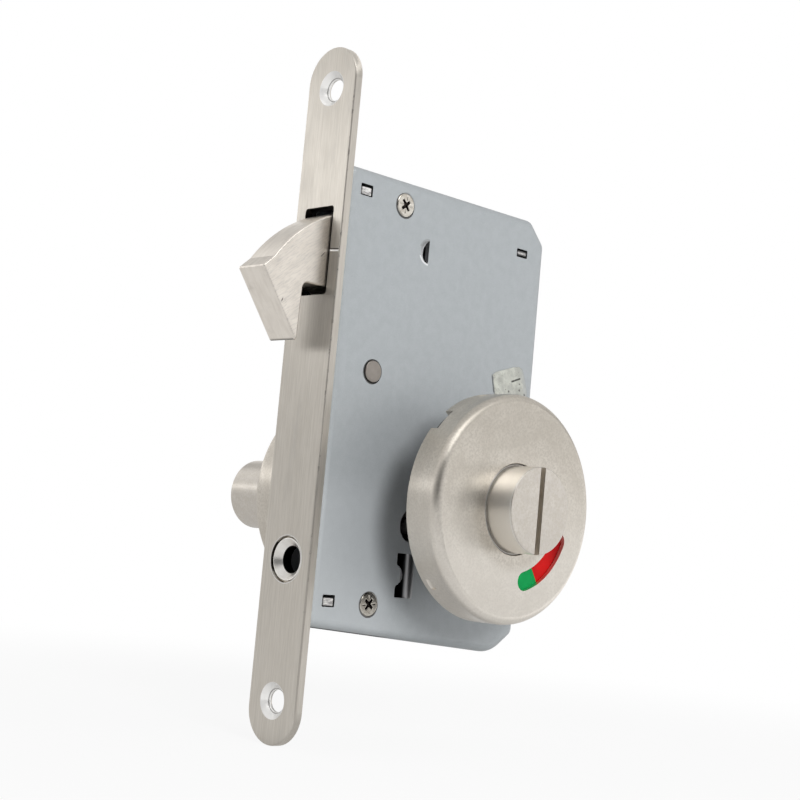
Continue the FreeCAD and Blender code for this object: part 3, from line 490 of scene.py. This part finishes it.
def plastic(name, look):
    material, graph = newMaterial(name)
    spot = graph.spot()
    grain = graph.noise(spot, look["grain"], detail=3.0, roughness=0.6)
    tone = graph.noise(spot, look["tone"])
    colour = graph.mix(graph.ramp(tone, *shows["tone"]), look["colour"], look["shade"])
    if "paintedShadow" in look:                # painted shadow, deeper towards the pointed end
        colour = graph.mix(graph.ramp(graph.split(spot)[0], *look["paintedShadowX"]), colour, look["paintedShadow"])
    rough = look["rough"] + grain * look["roughGrain"]
    close(graph, {"Base Color": colour, "Metallic": 0.0, "Roughness": rough,
                  "Specular IOR Level": look.get("gloss", 0.5)},
          grain, look["relief"], look["depth"])
    return material


def zincSheet(name, look):
    # rolled and zinc coated: soft cloudy spangle over a fine grain
    material, graph = newMaterial(name)
    spot = graph.spot()
    cloud = graph.noise(spot, look["cloud"], detail=4.0, roughness=0.55)
    grain = graph.noise(spot, look["grain"], detail=3.0, roughness=0.6)
    rolled = graph.noise(spot, look["rolled"])
    colour = graph.mix(graph.ramp(cloud, *shows["cloud"]), look["colour"], look["shade"])
    colour = graph.tint(colour, rolled, shows["rolled"], look["streakDepth"], look["streak"])
    colour = graph.tint(colour, grain, shows["sheetGrain"], look["grainDepth"], look["grainColour"])
    rough = look["rough"] + cloud * look["roughCloud"] + grain * look["roughGrain"]
    x, y, z = graph.split(spot)
    # painted light: a paler part of the near plate
    pale = graph.band(x, *look["paintedLightX"]) * graph.band(z, *look["paintedLightZ"])
    colour = graph.mix(pale * look["paintedLightShare"], colour, look["pale"])
    # painted shade on the case's inner walls
    walls = look["walls"]
    inner = graph.band(y, *walls["y"])
    floor = walls["floor"] + x * walls["slope"]
    for behind in (x - walls["front"], walls["rear"] - x, walls["top"] - z, z - floor):
        inner = inner * graph.ramp(behind, 0.0, walls["fade"])
    inner = inner * (1 - patchMask(graph, spot, look["pressed"]))
    colour = graph.mix(inner * walls["dark"], colour, look["hollow"])
    colour = addPatches(graph, spot, colour, look["patches"])
    colour = addLine(graph, spot, colour, look["labelShade"])[0]
    if "sheared" in look:             # the folded legs' torn ends
        clean, torn = look["sheared"]
        end = 1 - graph.ramp(y, *look["endY"])
        tear = graph.noise(spot, look["tear"], roughness=0.6)
        colour = graph.mix(end, colour, graph.mix(graph.ramp(tear, *shows["tear"]), clean, torn))
        # painted shade along the rims of the rear leg's end
        paintedRimShade = (1 - graph.band(z, *look["paintedRimShadeZ"])) * graph.ramp(x, *look["paintedRimShadeX"])
        colour = graph.mix(paintedRimShade * end * look["paintedRimShadeShare"], colour, look["rim"])
    near = 1 - graph.ramp(y, *look["nearY"])
    tongue = graph.band(x, *look["tongueX"]) * graph.band(z, *look["tongueZ"]) * near
    colour = graph.mix(tongue * look["wornShare"], colour, look["worn"])
    # painted shade in the gap behind the tongue, deeper inwards
    colour = graph.mix(tongue * graph.ramp(y, *look["paintedTongueShadeY"]), colour, look["hollow"])
    rough = rough - tongue * look["smoother"]
    metal = (inner + tongue) * (1 - look["metal"]) + look["metal"]
    close(graph, {"Base Color": colour, "Metallic": metal, "Roughness": rough},
          grain * look["grainShare"] + cloud * (1 - look["grainShare"]), look["relief"], look["depth"])
    return material


faceplateLook = {
    "colour": (0.850, 0.800, 0.725, 1), "shade": (0.790, 0.742, 0.668, 1),
    "grain": (9000, 9000, 90), "bands": (3600, 3600, 24), "smudge": (220, 220, 90),
    "flecks": (2700, 2700, 170), "fleckDepth": 0.45, "fleckColour": (0.70, 0.65, 0.575, 1),
    "smudgeDepth": 0.25, "smudgeColour": (0.58, 0.555, 0.52, 1),
    "rough": 0.31, "roughGrain": 0.12, "roughSmudge": 0.08, "stretch": 0.95,
    "grainShare": 0.7, "relief": 0.35, "depth": 0.02 * mm,
    "marks": {"axes": (1, 0, 2), "edge": (-8.0 * mm, -2.0 * mm), "width": 0.55 * mm,
              "scale": (500, 500, 420), "most": 0.020, "least": -0.060, "fade": 0.05,
              "shows": (0.55, 0.60), "strength": 0.55, "colour": (0.20, 0.18, 0.16, 1)},
    # countersinks: a matt white share of painted sheen, and a ring of painted shade low in each
    "sinks": {"z": 69.1 * mm, "rim": (4.0 * mm, 4.15 * mm), "bottom": (-0.3 * mm, -0.1 * mm),
              "ring": (2.72 * mm, 0.03 * mm, 0.10 * mm), "paintedRingShadeShare": 0.7, "paintedRingShade": (0.2, 0.19, 0.18, 1),
              "colour": (1.0, 0.99, 0.97, 1), "paintedSheenShare": 0.5, "smoother": 0.06},
    "lines": (
        # a seam across the margin: a dark line of painted shade beside a matt white line of painted highlight
        {"across": 2, "along": 1, "lean": 0.08, "place": 31.95 * mm, "half": 0.10 * mm, "soft": 0.12 * mm,
         "middle": -6.1 * mm, "reach": 1.5 * mm, "fade": 0.3 * mm, "face": (0, -2.0 * mm), "strength": 0.75,
         "colour": (0.06, 0.055, 0.05, 1)},
        {"across": 2, "along": 1, "lean": 0.08, "place": 31.58 * mm, "half": 0.10 * mm, "soft": 0.16 * mm,
         "middle": -6.1 * mm, "reach": 1.5 * mm, "fade": 0.3 * mm, "face": (0, -2.0 * mm), "strength": 1.0,
         "paintedHighlight": True, "colour": (1.0, 0.99, 0.97, 1)},
        {"across": 1, "along": 2, "lean": 0.0, "place": -7.85 * mm, "half": 0.12 * mm, "soft": 0.2 * mm,
         "middle": -45.0 * mm, "reach": 22.0 * mm, "fade": 14.0 * mm, "face": (0, -2.0 * mm),
         "strength": 0.35, "colour": (0.30, 0.27, 0.24, 1)},
    ),
    "patches": (                      # painted shade on the hook slot's walls and in the gap round the eyelet, burnished edge round that
        patch((-1.9, -5.2, 21.0), (0.5, 5.2, 41.8), 0.03, 0.97, (0.02, 0.018, 0.016, 1)),
        patch((-1.9, None, None), (0.5, None, None), 0.06, 0.95, (0.03, 0.025, 0.02, 1),
              ((0, 1, 1), (0, 0.42, -37.95), 3.8, 4.84)),
        patch((-2.1, None, None), (-1.97, None, None), 0.03, 0.8, (1.0, 0.99, 0.97, 1),
              ((0, 1, 1), (0, 0, -38.0), 5.25, 5.42)),
    ),
}
hookLook = {
    "colour": (0.945, 0.885, 0.805, 1), "shade": (0.865, 0.805, 0.728, 1),
    "grain": (5200, 700, 2400), "bands": (260, 900, 240), "smudge": (300, 200, 300),
    "smudgeDepth": 0.30, "smudgeColour": (0.52, 0.49, 0.45, 1),
    "rough": 0.26, "roughGrain": 0.14, "roughSmudge": 0.12,
    "grainShare": 0.7, "relief": 0.35, "depth": 0.02 * mm,
    "streaks": {"lean": 38.0, "fine": (420, 3000, 0), "broad": (110, 420, 0), "fineShare": 0.6,
                "face": (4.2 * mm, 4.3 * mm), "depth": 0.72, "height": 0.5, "colour": (0.66, 0.62, 0.57, 1)},
    "lines": (
        {"across": 2, "along": 0, "lean": 1.1, "place": 33.9 * mm, "half": 0.05 * mm, "soft": 0.15 * mm,
         "middle": -3.5 * mm, "reach": 0.35 * mm, "fade": 0.4 * mm, "face": (1, -4.4 * mm), "strength": 0.8,
         "colour": (0.07, 0.06, 0.05, 1)},
        {"across": 2, "along": 0, "lean": 1.6, "place": 40.2 * mm, "half": 0.12 * mm, "soft": 0.25 * mm,
         "middle": -13.9 * mm, "reach": 0.06 * mm, "fade": 0.25 * mm, "face": (1, -4.3 * mm), "strength": 1.0,
         "colour": (0.09, 0.07, 0.07, 1)},
    ),
    "patches": (                      # painted shade in the throat
        patch((-9.2, -3.8, 7.0), (-2.4, 3.8, 23.2), 0.4, 0.88, (0.13, 0.12, 0.11, 1)),
    ),
}
machinedLook = {
    "colour": (0.62, 0.60, 0.57, 1), "shade": (0.52, 0.50, 0.48, 1),
    "grain": (4200, 4200, 4200), "bands": (500, 500, 500), "smudge": (300, 300, 300),
    "smudgeDepth": 0.35, "smudgeColour": (0.34, 0.32, 0.30, 1),
    "rough": 0.28, "roughGrain": 0.14, "roughSmudge": 0.10,
    "grainShare": 0.7, "relief": 0.3, "depth": 0.02 * mm,
}
rivetLook = dict(machinedLook, colour=(0.38, 0.345, 0.315, 1), shade=(0.33, 0.30, 0.27, 1))
springLook = dict(machinedLook, colour=(0.22, 0.23, 0.26, 1), shade=(0.15, 0.16, 0.19, 1), rough=0.3)
nickelLook = dict(machinedLook, colour=(0.86, 0.83, 0.78, 1), shade=(0.78, 0.75, 0.70, 1), rough=0.14,
                  roughGrain=0.08, smudgeDepth=0.2, smudgeColour=(0.6, 0.57, 0.52, 1), depth=0.008 * mm)
eyeletLook = dict(nickelLook, colour=(1.0, 0.98, 0.94, 1), shade=(0.92, 0.89, 0.85, 1), rough=0.26,
                  roughGrain=0.12,
                  # the bore is painted black: painted shade down the hole
                  patches=(patch((-1.2, None, None), (9.0, None, None), 0.05, 0.97, (0.01, 0.01, 0.01, 1),
                                 ((0, 1, 1), (0, 0, -38.0), 0.0, 3.06)),))
roseLook = {
    "colour": (0.805, 0.755, 0.680, 1), "shade": (0.695, 0.645, 0.570, 1),
    "grain": (9.0, 5200, 5200), "bands": (3.0, 420, 300),
    "mottle": (2600, 2600, 2600), "smudge": (120, 160, 120),
    "smudgeDepth": 0.42, "smudgeColour": (0.60, 0.550, 0.480, 1),
    # the outer rose's face, with painted light towards its foot and painted shade towards its top
    "faceR": (12 * mm, 15 * mm), "faceY": (-20 * mm, -19 * mm),
    "polished": (1.0, 0.955, 0.885, 1), "paintedFootLightZ": (-36 * mm, -12 * mm), "paintedFootLightShare": 0.45,
    "paintedTopShade": (0.46, 0.422, 0.366, 1), "paintedTopShadeZ": (-16 * mm, -2 * mm), "paintedTopShadeShare": 0.32,
    "flecks": (1900, 2300, 1900), "fleckDepth": 0.85, "fleckColour": (0.63, 0.582, 0.512, 1),
    "rough": 0.26, "roughGrain": 0.12, "roughMottle": 0.14, "grainShare": 0.55, "stretch": 0.75,
    "relief": 0.5, "depth": 0.03 * mm,
}
# the knob's slot walls are lighter than the knob: painted light in the slot
knobLook = dict(roseLook, colour=(0.735, 0.692, 0.635, 1), shade=(0.668, 0.625, 0.573, 1), rough=0.24,
                stretch=0.5, slotX=(hubX, 0.79 * mm, 0.04 * mm), slotY=(-36.6 * mm, 1.2 * mm, 0.1 * mm),
                paintedSlotLight=(0.80, 0.755, 0.69, 1), sideY=(-34.3 * mm, 3.4 * mm, 0.2 * mm),
                sideR=(9.6 * mm, 9.7 * mm), sideColour=(0.97, 0.945, 0.90, 1))
zincLook = {
    "colour": (0.432, 0.459, 0.474, 1), "shade": (0.406, 0.432, 0.446, 1),
    "streak": (0.465, 0.490, 0.508, 1), "streakDepth": 0.18, "hollow": (0.02, 0.02, 0.022, 1),
    "grainColour": (0.30, 0.32, 0.338, 1), "grainDepth": 0.16, "grainShare": 0.5,
    # painted light: a paler part of the near plate, low at the front
    "pale": (0.62, 0.65, 0.67, 1), "paintedLightShare": 0.38,
    "paintedLightX": (9 * mm, 9 * mm, 10 * mm), "paintedLightZ": (-42 * mm, 16 * mm, 12 * mm),
    # painted shade on the inner walls inside the case; the floor rises by its slope towards the rear
    "walls": {"y": (0.0, 5.5 * mm, 0.4 * mm), "front": 1.0 * mm, "rear": 67.0 * mm, "top": 50.6 * mm,
              "floor": -55.6 * mm, "slope": 0.062, "fade": 0.3 * mm, "dark": 0.97},
    # rolled tongue of the window, worn bright, with painted shade in the gap behind it
    "worn": (0.66, 0.65, 0.66, 1), "wornShare": 0.8, "smoother": 0.14, "nearY": (0.0, 1.0 * mm),
    "tongueX": (29.0 * mm, 1.9 * mm, 0.5 * mm), "tongueZ": (-39.5 * mm, 5.1 * mm, 0.05 * mm),
    "paintedTongueShadeY": (-6.75 * mm, -5.7 * mm),
    "pressed": patch((24.0, -7.2, 33.3), (26.78, -4.6, 39.1), 0.02, 1.0),
    "patches": (
        # upper dent: painted light on the slope, painted shade on the cut
        patch((23.9, -6.96, 33.3), (26.76, -4.8, 39.1), 0.02, 0.9, (0.80, 0.81, 0.82, 1)),
        patch((26.72, -6.97, 33.4), (26.95, -4.6, 39.0), 0.03, 0.97, (0.02, 0.02, 0.022, 1)),
        # painted shade in the gaps beside the screws and the rivet
        patch((None, -7.2, None), (None, -6.2, None), 0.05, 0.9, (0.03, 0.028, 0.026, 1),
              ((1, 0, 1), (17.86, 0, 45.44), 0.0, 2.98)),
        patch((None, -7.2, None), (None, -6.2, None), 0.05, 0.8, (0.05, 0.045, 0.04, 1),
              ((1, 0, 1), (17.72, 0, -46.60), 0.0, 2.98)),
        patch((None, -7.2, None), (None, -6.2, None), 0.06, 0.9, (0.03, 0.028, 0.026, 1),
              ((1, 0, 1), (12.28, 0, 5.82), 0.0, 2.84)),
        # painted shade on the walls of the legs' slots
        patch((3.5, -6.9, 44.7), (7.5, -5.6, 47.9), 0.03, 0.95, (0.02, 0.02, 0.02, 1)),
        patch((3.5, -6.9, -48.0), (7.5, -5.6, -44.8), 0.03, 0.95, (0.02, 0.02, 0.02, 1)),
        patch((57.0, -6.9, 41.2), (61.4, -5.6, 43.6), 0.03, 0.95, (0.02, 0.02, 0.02, 1)),
        # the dent's rim, a painted highlight below and painted shade above
        patch((23.5, -7.2, 33.0), (26.7, -6.85, 35.0), 0.25, 0.7, (0.92, 0.93, 0.94, 1),
              ((1, 0, 1), (26.8, 0, 36.2), 2.5, 3.0)),
        patch((23.5, -7.2, 37.4), (26.7, -6.85, 39.2), 0.25, 0.5, (0.20, 0.20, 0.20, 1),
              ((1, 0, 1), (26.8, 0, 36.2), 2.5, 3.1)),
        # painted shade on the front wall behind the hook's slot
        patch((-0.2, -5.6, 21.0), (1.25, 5.6, 41.9), 0.03, 0.98, (0.015, 0.015, 0.016, 1)),
    ),
    "labelShade": {"across": 0, "along": 2, "lean": -0.279, "place": 55.02 * mm, "half": 0.08 * mm,
                   "soft": 0.12 * mm, "middle": 8.7 * mm, "reach": 1.7 * mm, "fade": 0.6 * mm,
                   "face": (1, -7.0 * mm), "strength": 0.8, "colour": (0.05, 0.05, 0.05, 1)},
    "cloud": (420, 420, 420), "grain": (3600, 3600, 3600), "rolled": (900, 900, 60),
    "metal": 0.27, "rough": 0.38, "roughCloud": 0.06, "roughGrain": 0.08, "relief": 0.22, "depth": 0.03 * mm,
}
# the rim colour is painted shade along the rims of the rear leg's end
backplateLook = dict(zincLook, patches=(), sheared=((0.78, 0.77, 0.75, 1), (0.30, 0.29, 0.29, 1)),
                     endY=(-6.4 * mm, -6.3 * mm), tear=(700, 900, 4600), rim=(0.03, 0.03, 0.03, 1),
                     paintedRimShadeShare=0.92, paintedRimShadeX=(50 * mm, 51 * mm), paintedRimShadeZ=(42.4 * mm, 0.20 * mm, 0.1 * mm))
plasticLooks = {
    "blackPlastic": {"colour": (0.024, 0.024, 0.026, 1), "shade": (0.036, 0.036, 0.038, 1),
                     "grain": (2600, 2600, 2600), "tone": (300, 300, 300), "rough": 0.42, "roughGrain": 0.18,
                     "relief": 0.4, "depth": 0.03 * mm},
    "whitePlastic": {"colour": (0.78, 0.78, 0.755, 1), "shade": (0.71, 0.71, 0.68, 1),
                     "grain": (2200, 2200, 2200), "tone": (260, 260, 260), "rough": 0.38, "roughGrain": 0.16,
                     "relief": 0.3, "depth": 0.02 * mm},
    "greenSign": {"colour": (0.008, 0.325, 0.082, 1), "shade": (0.006, 0.27, 0.07, 1),
                  "grain": (1500, 1500, 1500), "tone": (240, 240, 240), "rough": 0.30, "roughGrain": 0.10,
                  "relief": 0.15, "depth": 0.02 * mm, "gloss": 0.06},
    "redSign": {"colour": (0.62, 0.012, 0.012, 1), "shade": (0.50, 0.010, 0.010, 1),
                # the red sign's painted shadow, deeper towards its pointed end
                "paintedShadow": (0.30, 0.006, 0.008, 1), "paintedShadowX": (50.5 * mm, 55.0 * mm),
                "grain": (1500, 1500, 1500), "tone": (240, 240, 240), "rough": 0.30, "roughGrain": 0.10,
                "relief": 0.15, "depth": 0.02 * mm, "gloss": 0.06},
}

finishes = {
    "satinFaceplate": brushed("satinFaceplate", faceplateLook),
    "satinHook": brushed("satinHook", hookLook),
    "machinedSteel": brushed("machinedSteel", machinedLook),
    "springSteel": brushed("springSteel", springLook),
    "brightNickel": brushed("brightNickel", nickelLook),
    "eyeletNickel": brushed("eyeletNickel", eyeletLook),
    "satinRose": turnedFinish("satinRose", roseLook),
    "satinKnob": turnedFinish("satinKnob", knobLook),
    "zincSheet": zincSheet("zincSheet", zincLook),
    "zincBackplate": zincSheet("zincBackplate", backplateLook),
    "rivetSteel": brushed("rivetSteel", rivetLook),
}
for plasticName, plasticLook in plasticLooks.items():
    finishes[plasticName] = plastic(plasticName, plasticLook)

finishOf = {
    "faceplate": "satinFaceplate", "faceplate_ferrule": "eyeletNickel", "case_shell": "zincSheet",
    "case_backplate": "zincBackplate", "case_screws": "brightNickel", "case_posts": "machinedSteel",
    "hook_pivot_pin": "rivetSteel", "pivot_washers": "machinedSteel", "hook_bolt": "satinHook",
    "hub_crank": "machinedSteel", "crank_pin": "machinedSteel", "crank_roller": "machinedSteel",
    "detent_spring": "springSteel", "detent_post": "machinedSteel", "spindle": "machinedSteel",
    "outer_rose_cover": "satinRose", "outer_rose_base": "blackPlastic", "outer_rose_bush": "whitePlastic",
    "outer_clip": "springSteel", "inner_rose_cover": "satinRose", "inner_rose_base": "blackPlastic",
    "inner_rose_bush": "whitePlastic", "inner_clip": "springSteel", "bolt_inserts": "machinedSteel",
    "rose_bolts": "machinedSteel", "indicator_disc": "whitePlastic", "indicator_green": "greenSign",
    "indicator_red": "redSign", "release_knob": "satinKnob", "thumb_turn": "satinKnob",
    "grub_screw": "machinedSteel", "inspection_label": "whitePlastic",
}
for nodeName, finishName in finishOf.items():
    mesh = nodes[nodeName].data
    mesh.materials.clear()
    mesh.materials.append(finishes[finishName])
print("finishes on", len(finishOf), "nodes")


# crumpled blank label on the near plate
labelLook = {                         # bare lengths are in mm
    "corners": ((52.08, 11.0), (53.2, 11.8), (59.4, 13.87), (61.5, 14.25), (62.8, 13.8), (63.6, 12.7),
                (65.3, 8.2), (65.6, 3.5), (54.4, 2.7)),
    "netX": (51, 66), "netZ": (2, 14.4), "cell": 0.16,   # the net that is crumpled, and its mesh width
    "plateY": -7.0, "lift": 0.05, "crumple": 0.50, "film": 0.04,
    "rise": 0.45, "rimWidth": 0.9,    # share of the crumple that all of it has, strip where it runs out
    "foldShare": 0.5, "foldScale": 0.34, "foldLayer": 3.1, "foldFractal": (0.9, 2.1, 3),
    "ridgeShare": 0.4, "ridgeScale": (0.42, 0.30), "ridgeStart": 5, "ridgeLayer": 9.7, "ridgeSharpness": 4,
    "tone": (380, 380, 380), "speckle": (2400, 2400, 2400), "speckDepth": 0.6,
    "rough": 0.34, "roughTone": 0.2, "coat": 0.3, "relief": 0.2, "reliefDepth": 0.02 * mm,
    "colour": (0.58, 0.59, 0.53, 1), "shade": (0.40, 0.405, 0.37, 1), "speck": (0.16, 0.15, 0.13, 1),
    # where the film lies flat, beyond a slanting line, and the sheet shows through
    "thin": (0.40, 0.415, 0.41, 1), "thinShare": 0.85, "thinSlant": 0.25, "thinEdge": (64.6 * mm, 66.6 * mm),
    # the crease is a line of painted shade
    "crease": ((58.8, 10.05), (62.2, 11.35)), "creaseHalf": 0.17, "creaseFade": 0.12, "creaseEnd": 0.25,
    "paintedCreaseShadeShare": 0.95, "paintedCreaseShade": (0.02, 0.018, 0.015, 1),
    "blots": ((58.0, 7.55, 0.34), (63.8, 7.5, 0.36), (57.0, 7.9, 0.2), (61.9, 9.9, 0.22), (62.0, 8.4, 0.3)),
    "blotRagged": 0.4, "blotFade": 0.3, "blotShare": 0.85, "blotColour": (0.04, 0.035, 0.03, 1),
}


def rimDistance(corners, x, z):
    # distance to the nearest side of a clockwise outline, negative outside
    nearest = math.inf
    for index, (ax, az) in enumerate(corners):
        bx, bz = corners[(index + 1) % len(corners)]
        length = math.hypot(bx - ax, bz - az)
        nearest = min(nearest, ((z - az) * (bx - ax) - (x - ax) * (bz - az)) / -length)
    return nearest


def crumpledHeight(look, x, z, rim):
    # soft folds and sharp ridges, as a share of the crumple
    scale = look["foldScale"]
    fold = noise.fractal(Vector((x * scale, z * scale, look["foldLayer"])), *look["foldFractal"])
    scaleX, scaleZ = look["ridgeScale"]
    place = Vector((x * scaleX + look["ridgeStart"], z * scaleZ, look["ridgeLayer"]))
    ridge = max(1 - abs(noise.noise(place)) * look["ridgeSharpness"], 0)
    rise = look["rise"] + look["foldShare"] * fold + look["ridgeShare"] * ridge
    return rise * min(rim / look["rimWidth"], 1)


def buildLabel(look):
    corners = look["corners"]
    cell = look["cell"]
    grid = bmesh.new()
    points = {}
    (startX, endX), (startZ, endZ) = look["netX"], look["netZ"]
    for column in range(int((endX - startX) / cell) + 1):
        for row in range(int((endZ - startZ) / cell) + 1):
            x, z = startX + column * cell, startZ + row * cell
            rim = rimDistance(corners, x, z)
            if rim >= 0:
                y = look["plateY"] - look["lift"] - look["crumple"] * max(crumpledHeight(look, x, z, rim), 0)
                points[column, row] = grid.verts.new((x * mm, y * mm, z * mm))
    for column, row in points:
        ring = [points.get(key) for key in ((column, row), (column + 1, row), (column + 1, row + 1),
                                            (column, row + 1))]
        if all(ring):
            grid.faces.new(ring)
    loose = [vertex for vertex in grid.verts if not vertex.link_faces]
    bmesh.ops.delete(grid, geom=loose, context="VERTS")
    label = pieceFrom(grid, "crumpledLabel", True)
    skin = label.modifiers.new("skin", "SOLIDIFY")
    skin.thickness = look["film"] * mm
    skin.offset = 0
    material, graph = newMaterial("labelFilm")
    spot = graph.spot()
    tone = graph.noise(spot, look["tone"], detail=3.0, roughness=0.6)
    speckle = graph.noise(spot, look["speckle"], roughness=0.6)
    colour = graph.mix(graph.ramp(tone, *shows["labelTone"]), look["colour"], look["shade"])
    colour = graph.tint(colour, speckle, shows["labelSpecks"], look["speckDepth"], look["speck"])
    x, z = graph.split(spot)[::2]
    colour = graph.tint(colour, x + z * look["thinSlant"], look["thinEdge"], look["thinShare"], look["thin"])
    # painted shade along the crease
    (startX, startZ), (endX, endZ) = look["crease"]
    start = Vector((startX * mm, 0, startZ * mm))
    run = Vector((endX - startX, 0, endZ - startZ))
    forward = run.normalized()
    side = Vector((-run.z, 0, run.x)).normalized()
    along = graph.dot(spot, forward) - forward.dot(start)
    across = graph.dot(spot, side) - side.dot(start)
    middle, end = run.length / 2, look["creaseEnd"]
    fold = graph.band(along, middle * mm, (middle - end) * mm, end * mm) \
        * graph.band(across, 0, look["creaseHalf"] * mm, look["creaseFade"] * mm)
    colour = graph.mix(fold * look["paintedCreaseShadeShare"], colour, look["paintedCreaseShade"])
    for blotX, blotZ, size in look["blots"]:
        apart = graph.distance(graph.scaled(spot, (1, 0, 1)), (blotX * mm, 0, blotZ * mm))
        ragged = apart + speckle * look["blotRagged"] * mm
        blot = 1 - graph.ramp(ragged, size * mm, (size + look["blotFade"]) * mm)
        colour = graph.mix(blot * look["blotShare"], colour, look["blotColour"])
    close(graph, {"Base Color": colour, "Roughness": look["rough"] + tone * look["roughTone"],
                  "Coat Weight": look["coat"]},
          speckle, look["relief"], look["reliefDepth"])
    label.data.materials.append(material)
    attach(label, "lock_body")
    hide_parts("inspection_label")


buildLabel(labelLook)
print("label built")

# case screws: domed countersunk heads with a cross recess and four small marks between its arms
screwLook = {                         # bare lengths are in mm, turns in degrees
    "places": ((18.1, 45.7), (17.9, -46.5)), "turns": (40.0, 52.0),
    "headR": 2.76, "shankR": 1.5, "front": -7.02, "coneEnd": -5.6, "end": 2.0,
    "rimWidth": 0.30, "rimDrop": 0.16,
    "armHalf": 0.36, "armTaper": 0.07, "armEnd": (1.30, 1.60), "wall": 0.10,
    "heart": 0.70, "depth": 0.95, "slope": 0.22,   # the recess is deepest in its heart
    "markFrom": 0.95, "markTo": 1.9, "markHalf": 0.10, "markDepth": 0.10, "markEnd": 0.1, "markSide": 0.06,
    "rings": 44, "spokes": 144,
    "colour": (0.66, 0.63, 0.57, 1), "shade": (0.50, 0.46, 0.40, 1), "tone": (900, 900, 900),
    # the recess colour is painted shade, deeper down the cross recess
    "recess": (0.035, 0.03, 0.025, 1), "paintedRecessShadeY": (-6.93 * mm, -6.70 * mm),
    "rough": 0.16, "roughTone": 0.14, "relief": 0.2, "reliefDepth": 0.02 * mm,
}


def smooth(value, low, high):
    share = min(max((value - low) / (high - low), 0.0), 1.0)
    return share * share * (3 - 2 * share)


def recessDepth(look, across, up):
    arm = 0.0
    for first, second in ((across, up), (up, across)):
        first, second = abs(first), abs(second)
        half = look["armHalf"] - look["armTaper"] * first
        arm = max(arm, (1 - smooth(second, half, half + look["wall"])) * (1 - smooth(first, *look["armEnd"])))
    distance = math.hypot(across, up)
    arm = max(arm, 1 - smooth(distance, look["heart"] - look["wall"], look["heart"]))
    depth = arm * (look["depth"] - look["slope"] * distance)
    slant = (abs(across) - abs(up)) / math.sqrt(2)
    mark = (1 - smooth(abs(slant), look["markHalf"], look["markHalf"] + look["markSide"])) \
        * smooth(distance, look["markFrom"], look["markFrom"] + look["markEnd"]) \
        * (1 - smooth(distance, look["markTo"], look["markTo"] + look["markEnd"]))
    return max(depth, mark * look["markDepth"])


def buildScrews(look):
    form = bmesh.new()
    for (x, z), turn in zip(look["places"], look["turns"]):
        lean = math.radians(turn)
        rings = []
        for step in range(look["rings"]):
            radius = look["headR"] * (step + 1) / look["rings"]
            ring = []
            for spoke in range(look["spokes"]):
                angle = 2 * math.pi * spoke / look["spokes"]
                across, up = radius * math.cos(angle), radius * math.sin(angle)
                rim = smooth(radius, look["headR"] - look["rimWidth"], look["headR"]) * look["rimDrop"]
                y = look["front"] + recessDepth(look, across, up) + rim
                turnedX = across * math.cos(lean) - up * math.sin(lean)
                turnedZ = across * math.sin(lean) + up * math.cos(lean)
                ring.append(form.verts.new(((x + turnedX) * mm, y * mm, (z + turnedZ) * mm)))
            rings.append(ring)
        for radius, y in ((look["shankR"], look["coneEnd"]), (look["shankR"], look["end"])):
            ring = []
            for spoke in range(look["spokes"]):
                angle = 2 * math.pi * spoke / look["spokes"] + lean
                ring.append(form.verts.new(((x + radius * math.cos(angle)) * mm, y * mm,
                                            (z + radius * math.sin(angle)) * mm)))
            rings.append(ring)
        middle = form.verts.new((x * mm, (look["front"] + look["depth"]) * mm, z * mm))
        last = look["spokes"]
        for spoke in range(last):
            form.faces.new((middle, rings[0][spoke], rings[0][(spoke + 1) % last]))
        for inner, outer in zip(rings, rings[1:]):
            for spoke in range(last):
                after = (spoke + 1) % last
                form.faces.new((inner[spoke], outer[spoke], outer[after], inner[after]))
        form.faces.new(list(reversed(rings[-1])))
    bmesh.ops.recalc_face_normals(form, faces=form.faces)
    screws = pieceFrom(form, "caseScrewHeads", True)
    material, graph = newMaterial("screwNickel")
    spot = graph.spot()
    y = graph.split(spot)[1]
    tone = graph.noise(spot, look["tone"], detail=3.0, roughness=0.6)
    colour = graph.mix(graph.ramp(tone, *shows["screwTone"]), look["colour"], look["shade"])
    # painted shade down the cross recess
    colour = graph.mix(graph.ramp(y, *look["paintedRecessShadeY"]), colour, look["recess"])
    rough = look["rough"] + tone * look["roughTone"]
    close(graph, {"Base Color": colour, "Metallic": 1.0, "Roughness": rough}, tone, look["relief"],
          look["reliefDepth"])
    screws.data.materials.append(material)
    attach(screws, "lock_body")
    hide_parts("case_screws")


buildScrews(screwLook)
print("screws built")

# thin spring ring that shows in the gap round the release knob
ringLook = {                          # lengths in mm
    "inner": 9.86, "outer": 10.16, "front": -30.75, "back": -30.1, "bevel": 0.08, "spokes": 128,
}


def buildRing(look):
    form = bmesh.new()
    inner, outer, front, shoulder = look["inner"], look["outer"], look["front"], look["front"] + look["bevel"]
    profile = ((inner, look["back"]), (inner, shoulder), ((inner + outer) / 2, front), (outer, shoulder),
               (outer, look["back"]))
    rings = []
    for radius, y in profile:
        ring = []
        for spoke in range(look["spokes"]):
            turn = 2 * math.pi * spoke / look["spokes"]
            ring.append(form.verts.new((hubX + radius * mm * math.cos(turn), y * mm,
                                        hubZ + radius * mm * math.sin(turn))))
        rings.append(ring)
    for index, ring in enumerate(rings):
        following = rings[(index + 1) % len(rings)]
        for spoke in range(look["spokes"]):
            after = (spoke + 1) % look["spokes"]
            form.faces.new((ring[spoke], ring[after], following[after], following[spoke]))
    bmesh.ops.recalc_face_normals(form, faces=form.faces)
    ringPiece = pieceFrom(form, "outerGapRing", False)
    ringPiece.data.materials.append(finishes["machinedSteel"])
    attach(ringPiece, "lock_body")


buildRing(ringLook)
print("gap ring built")
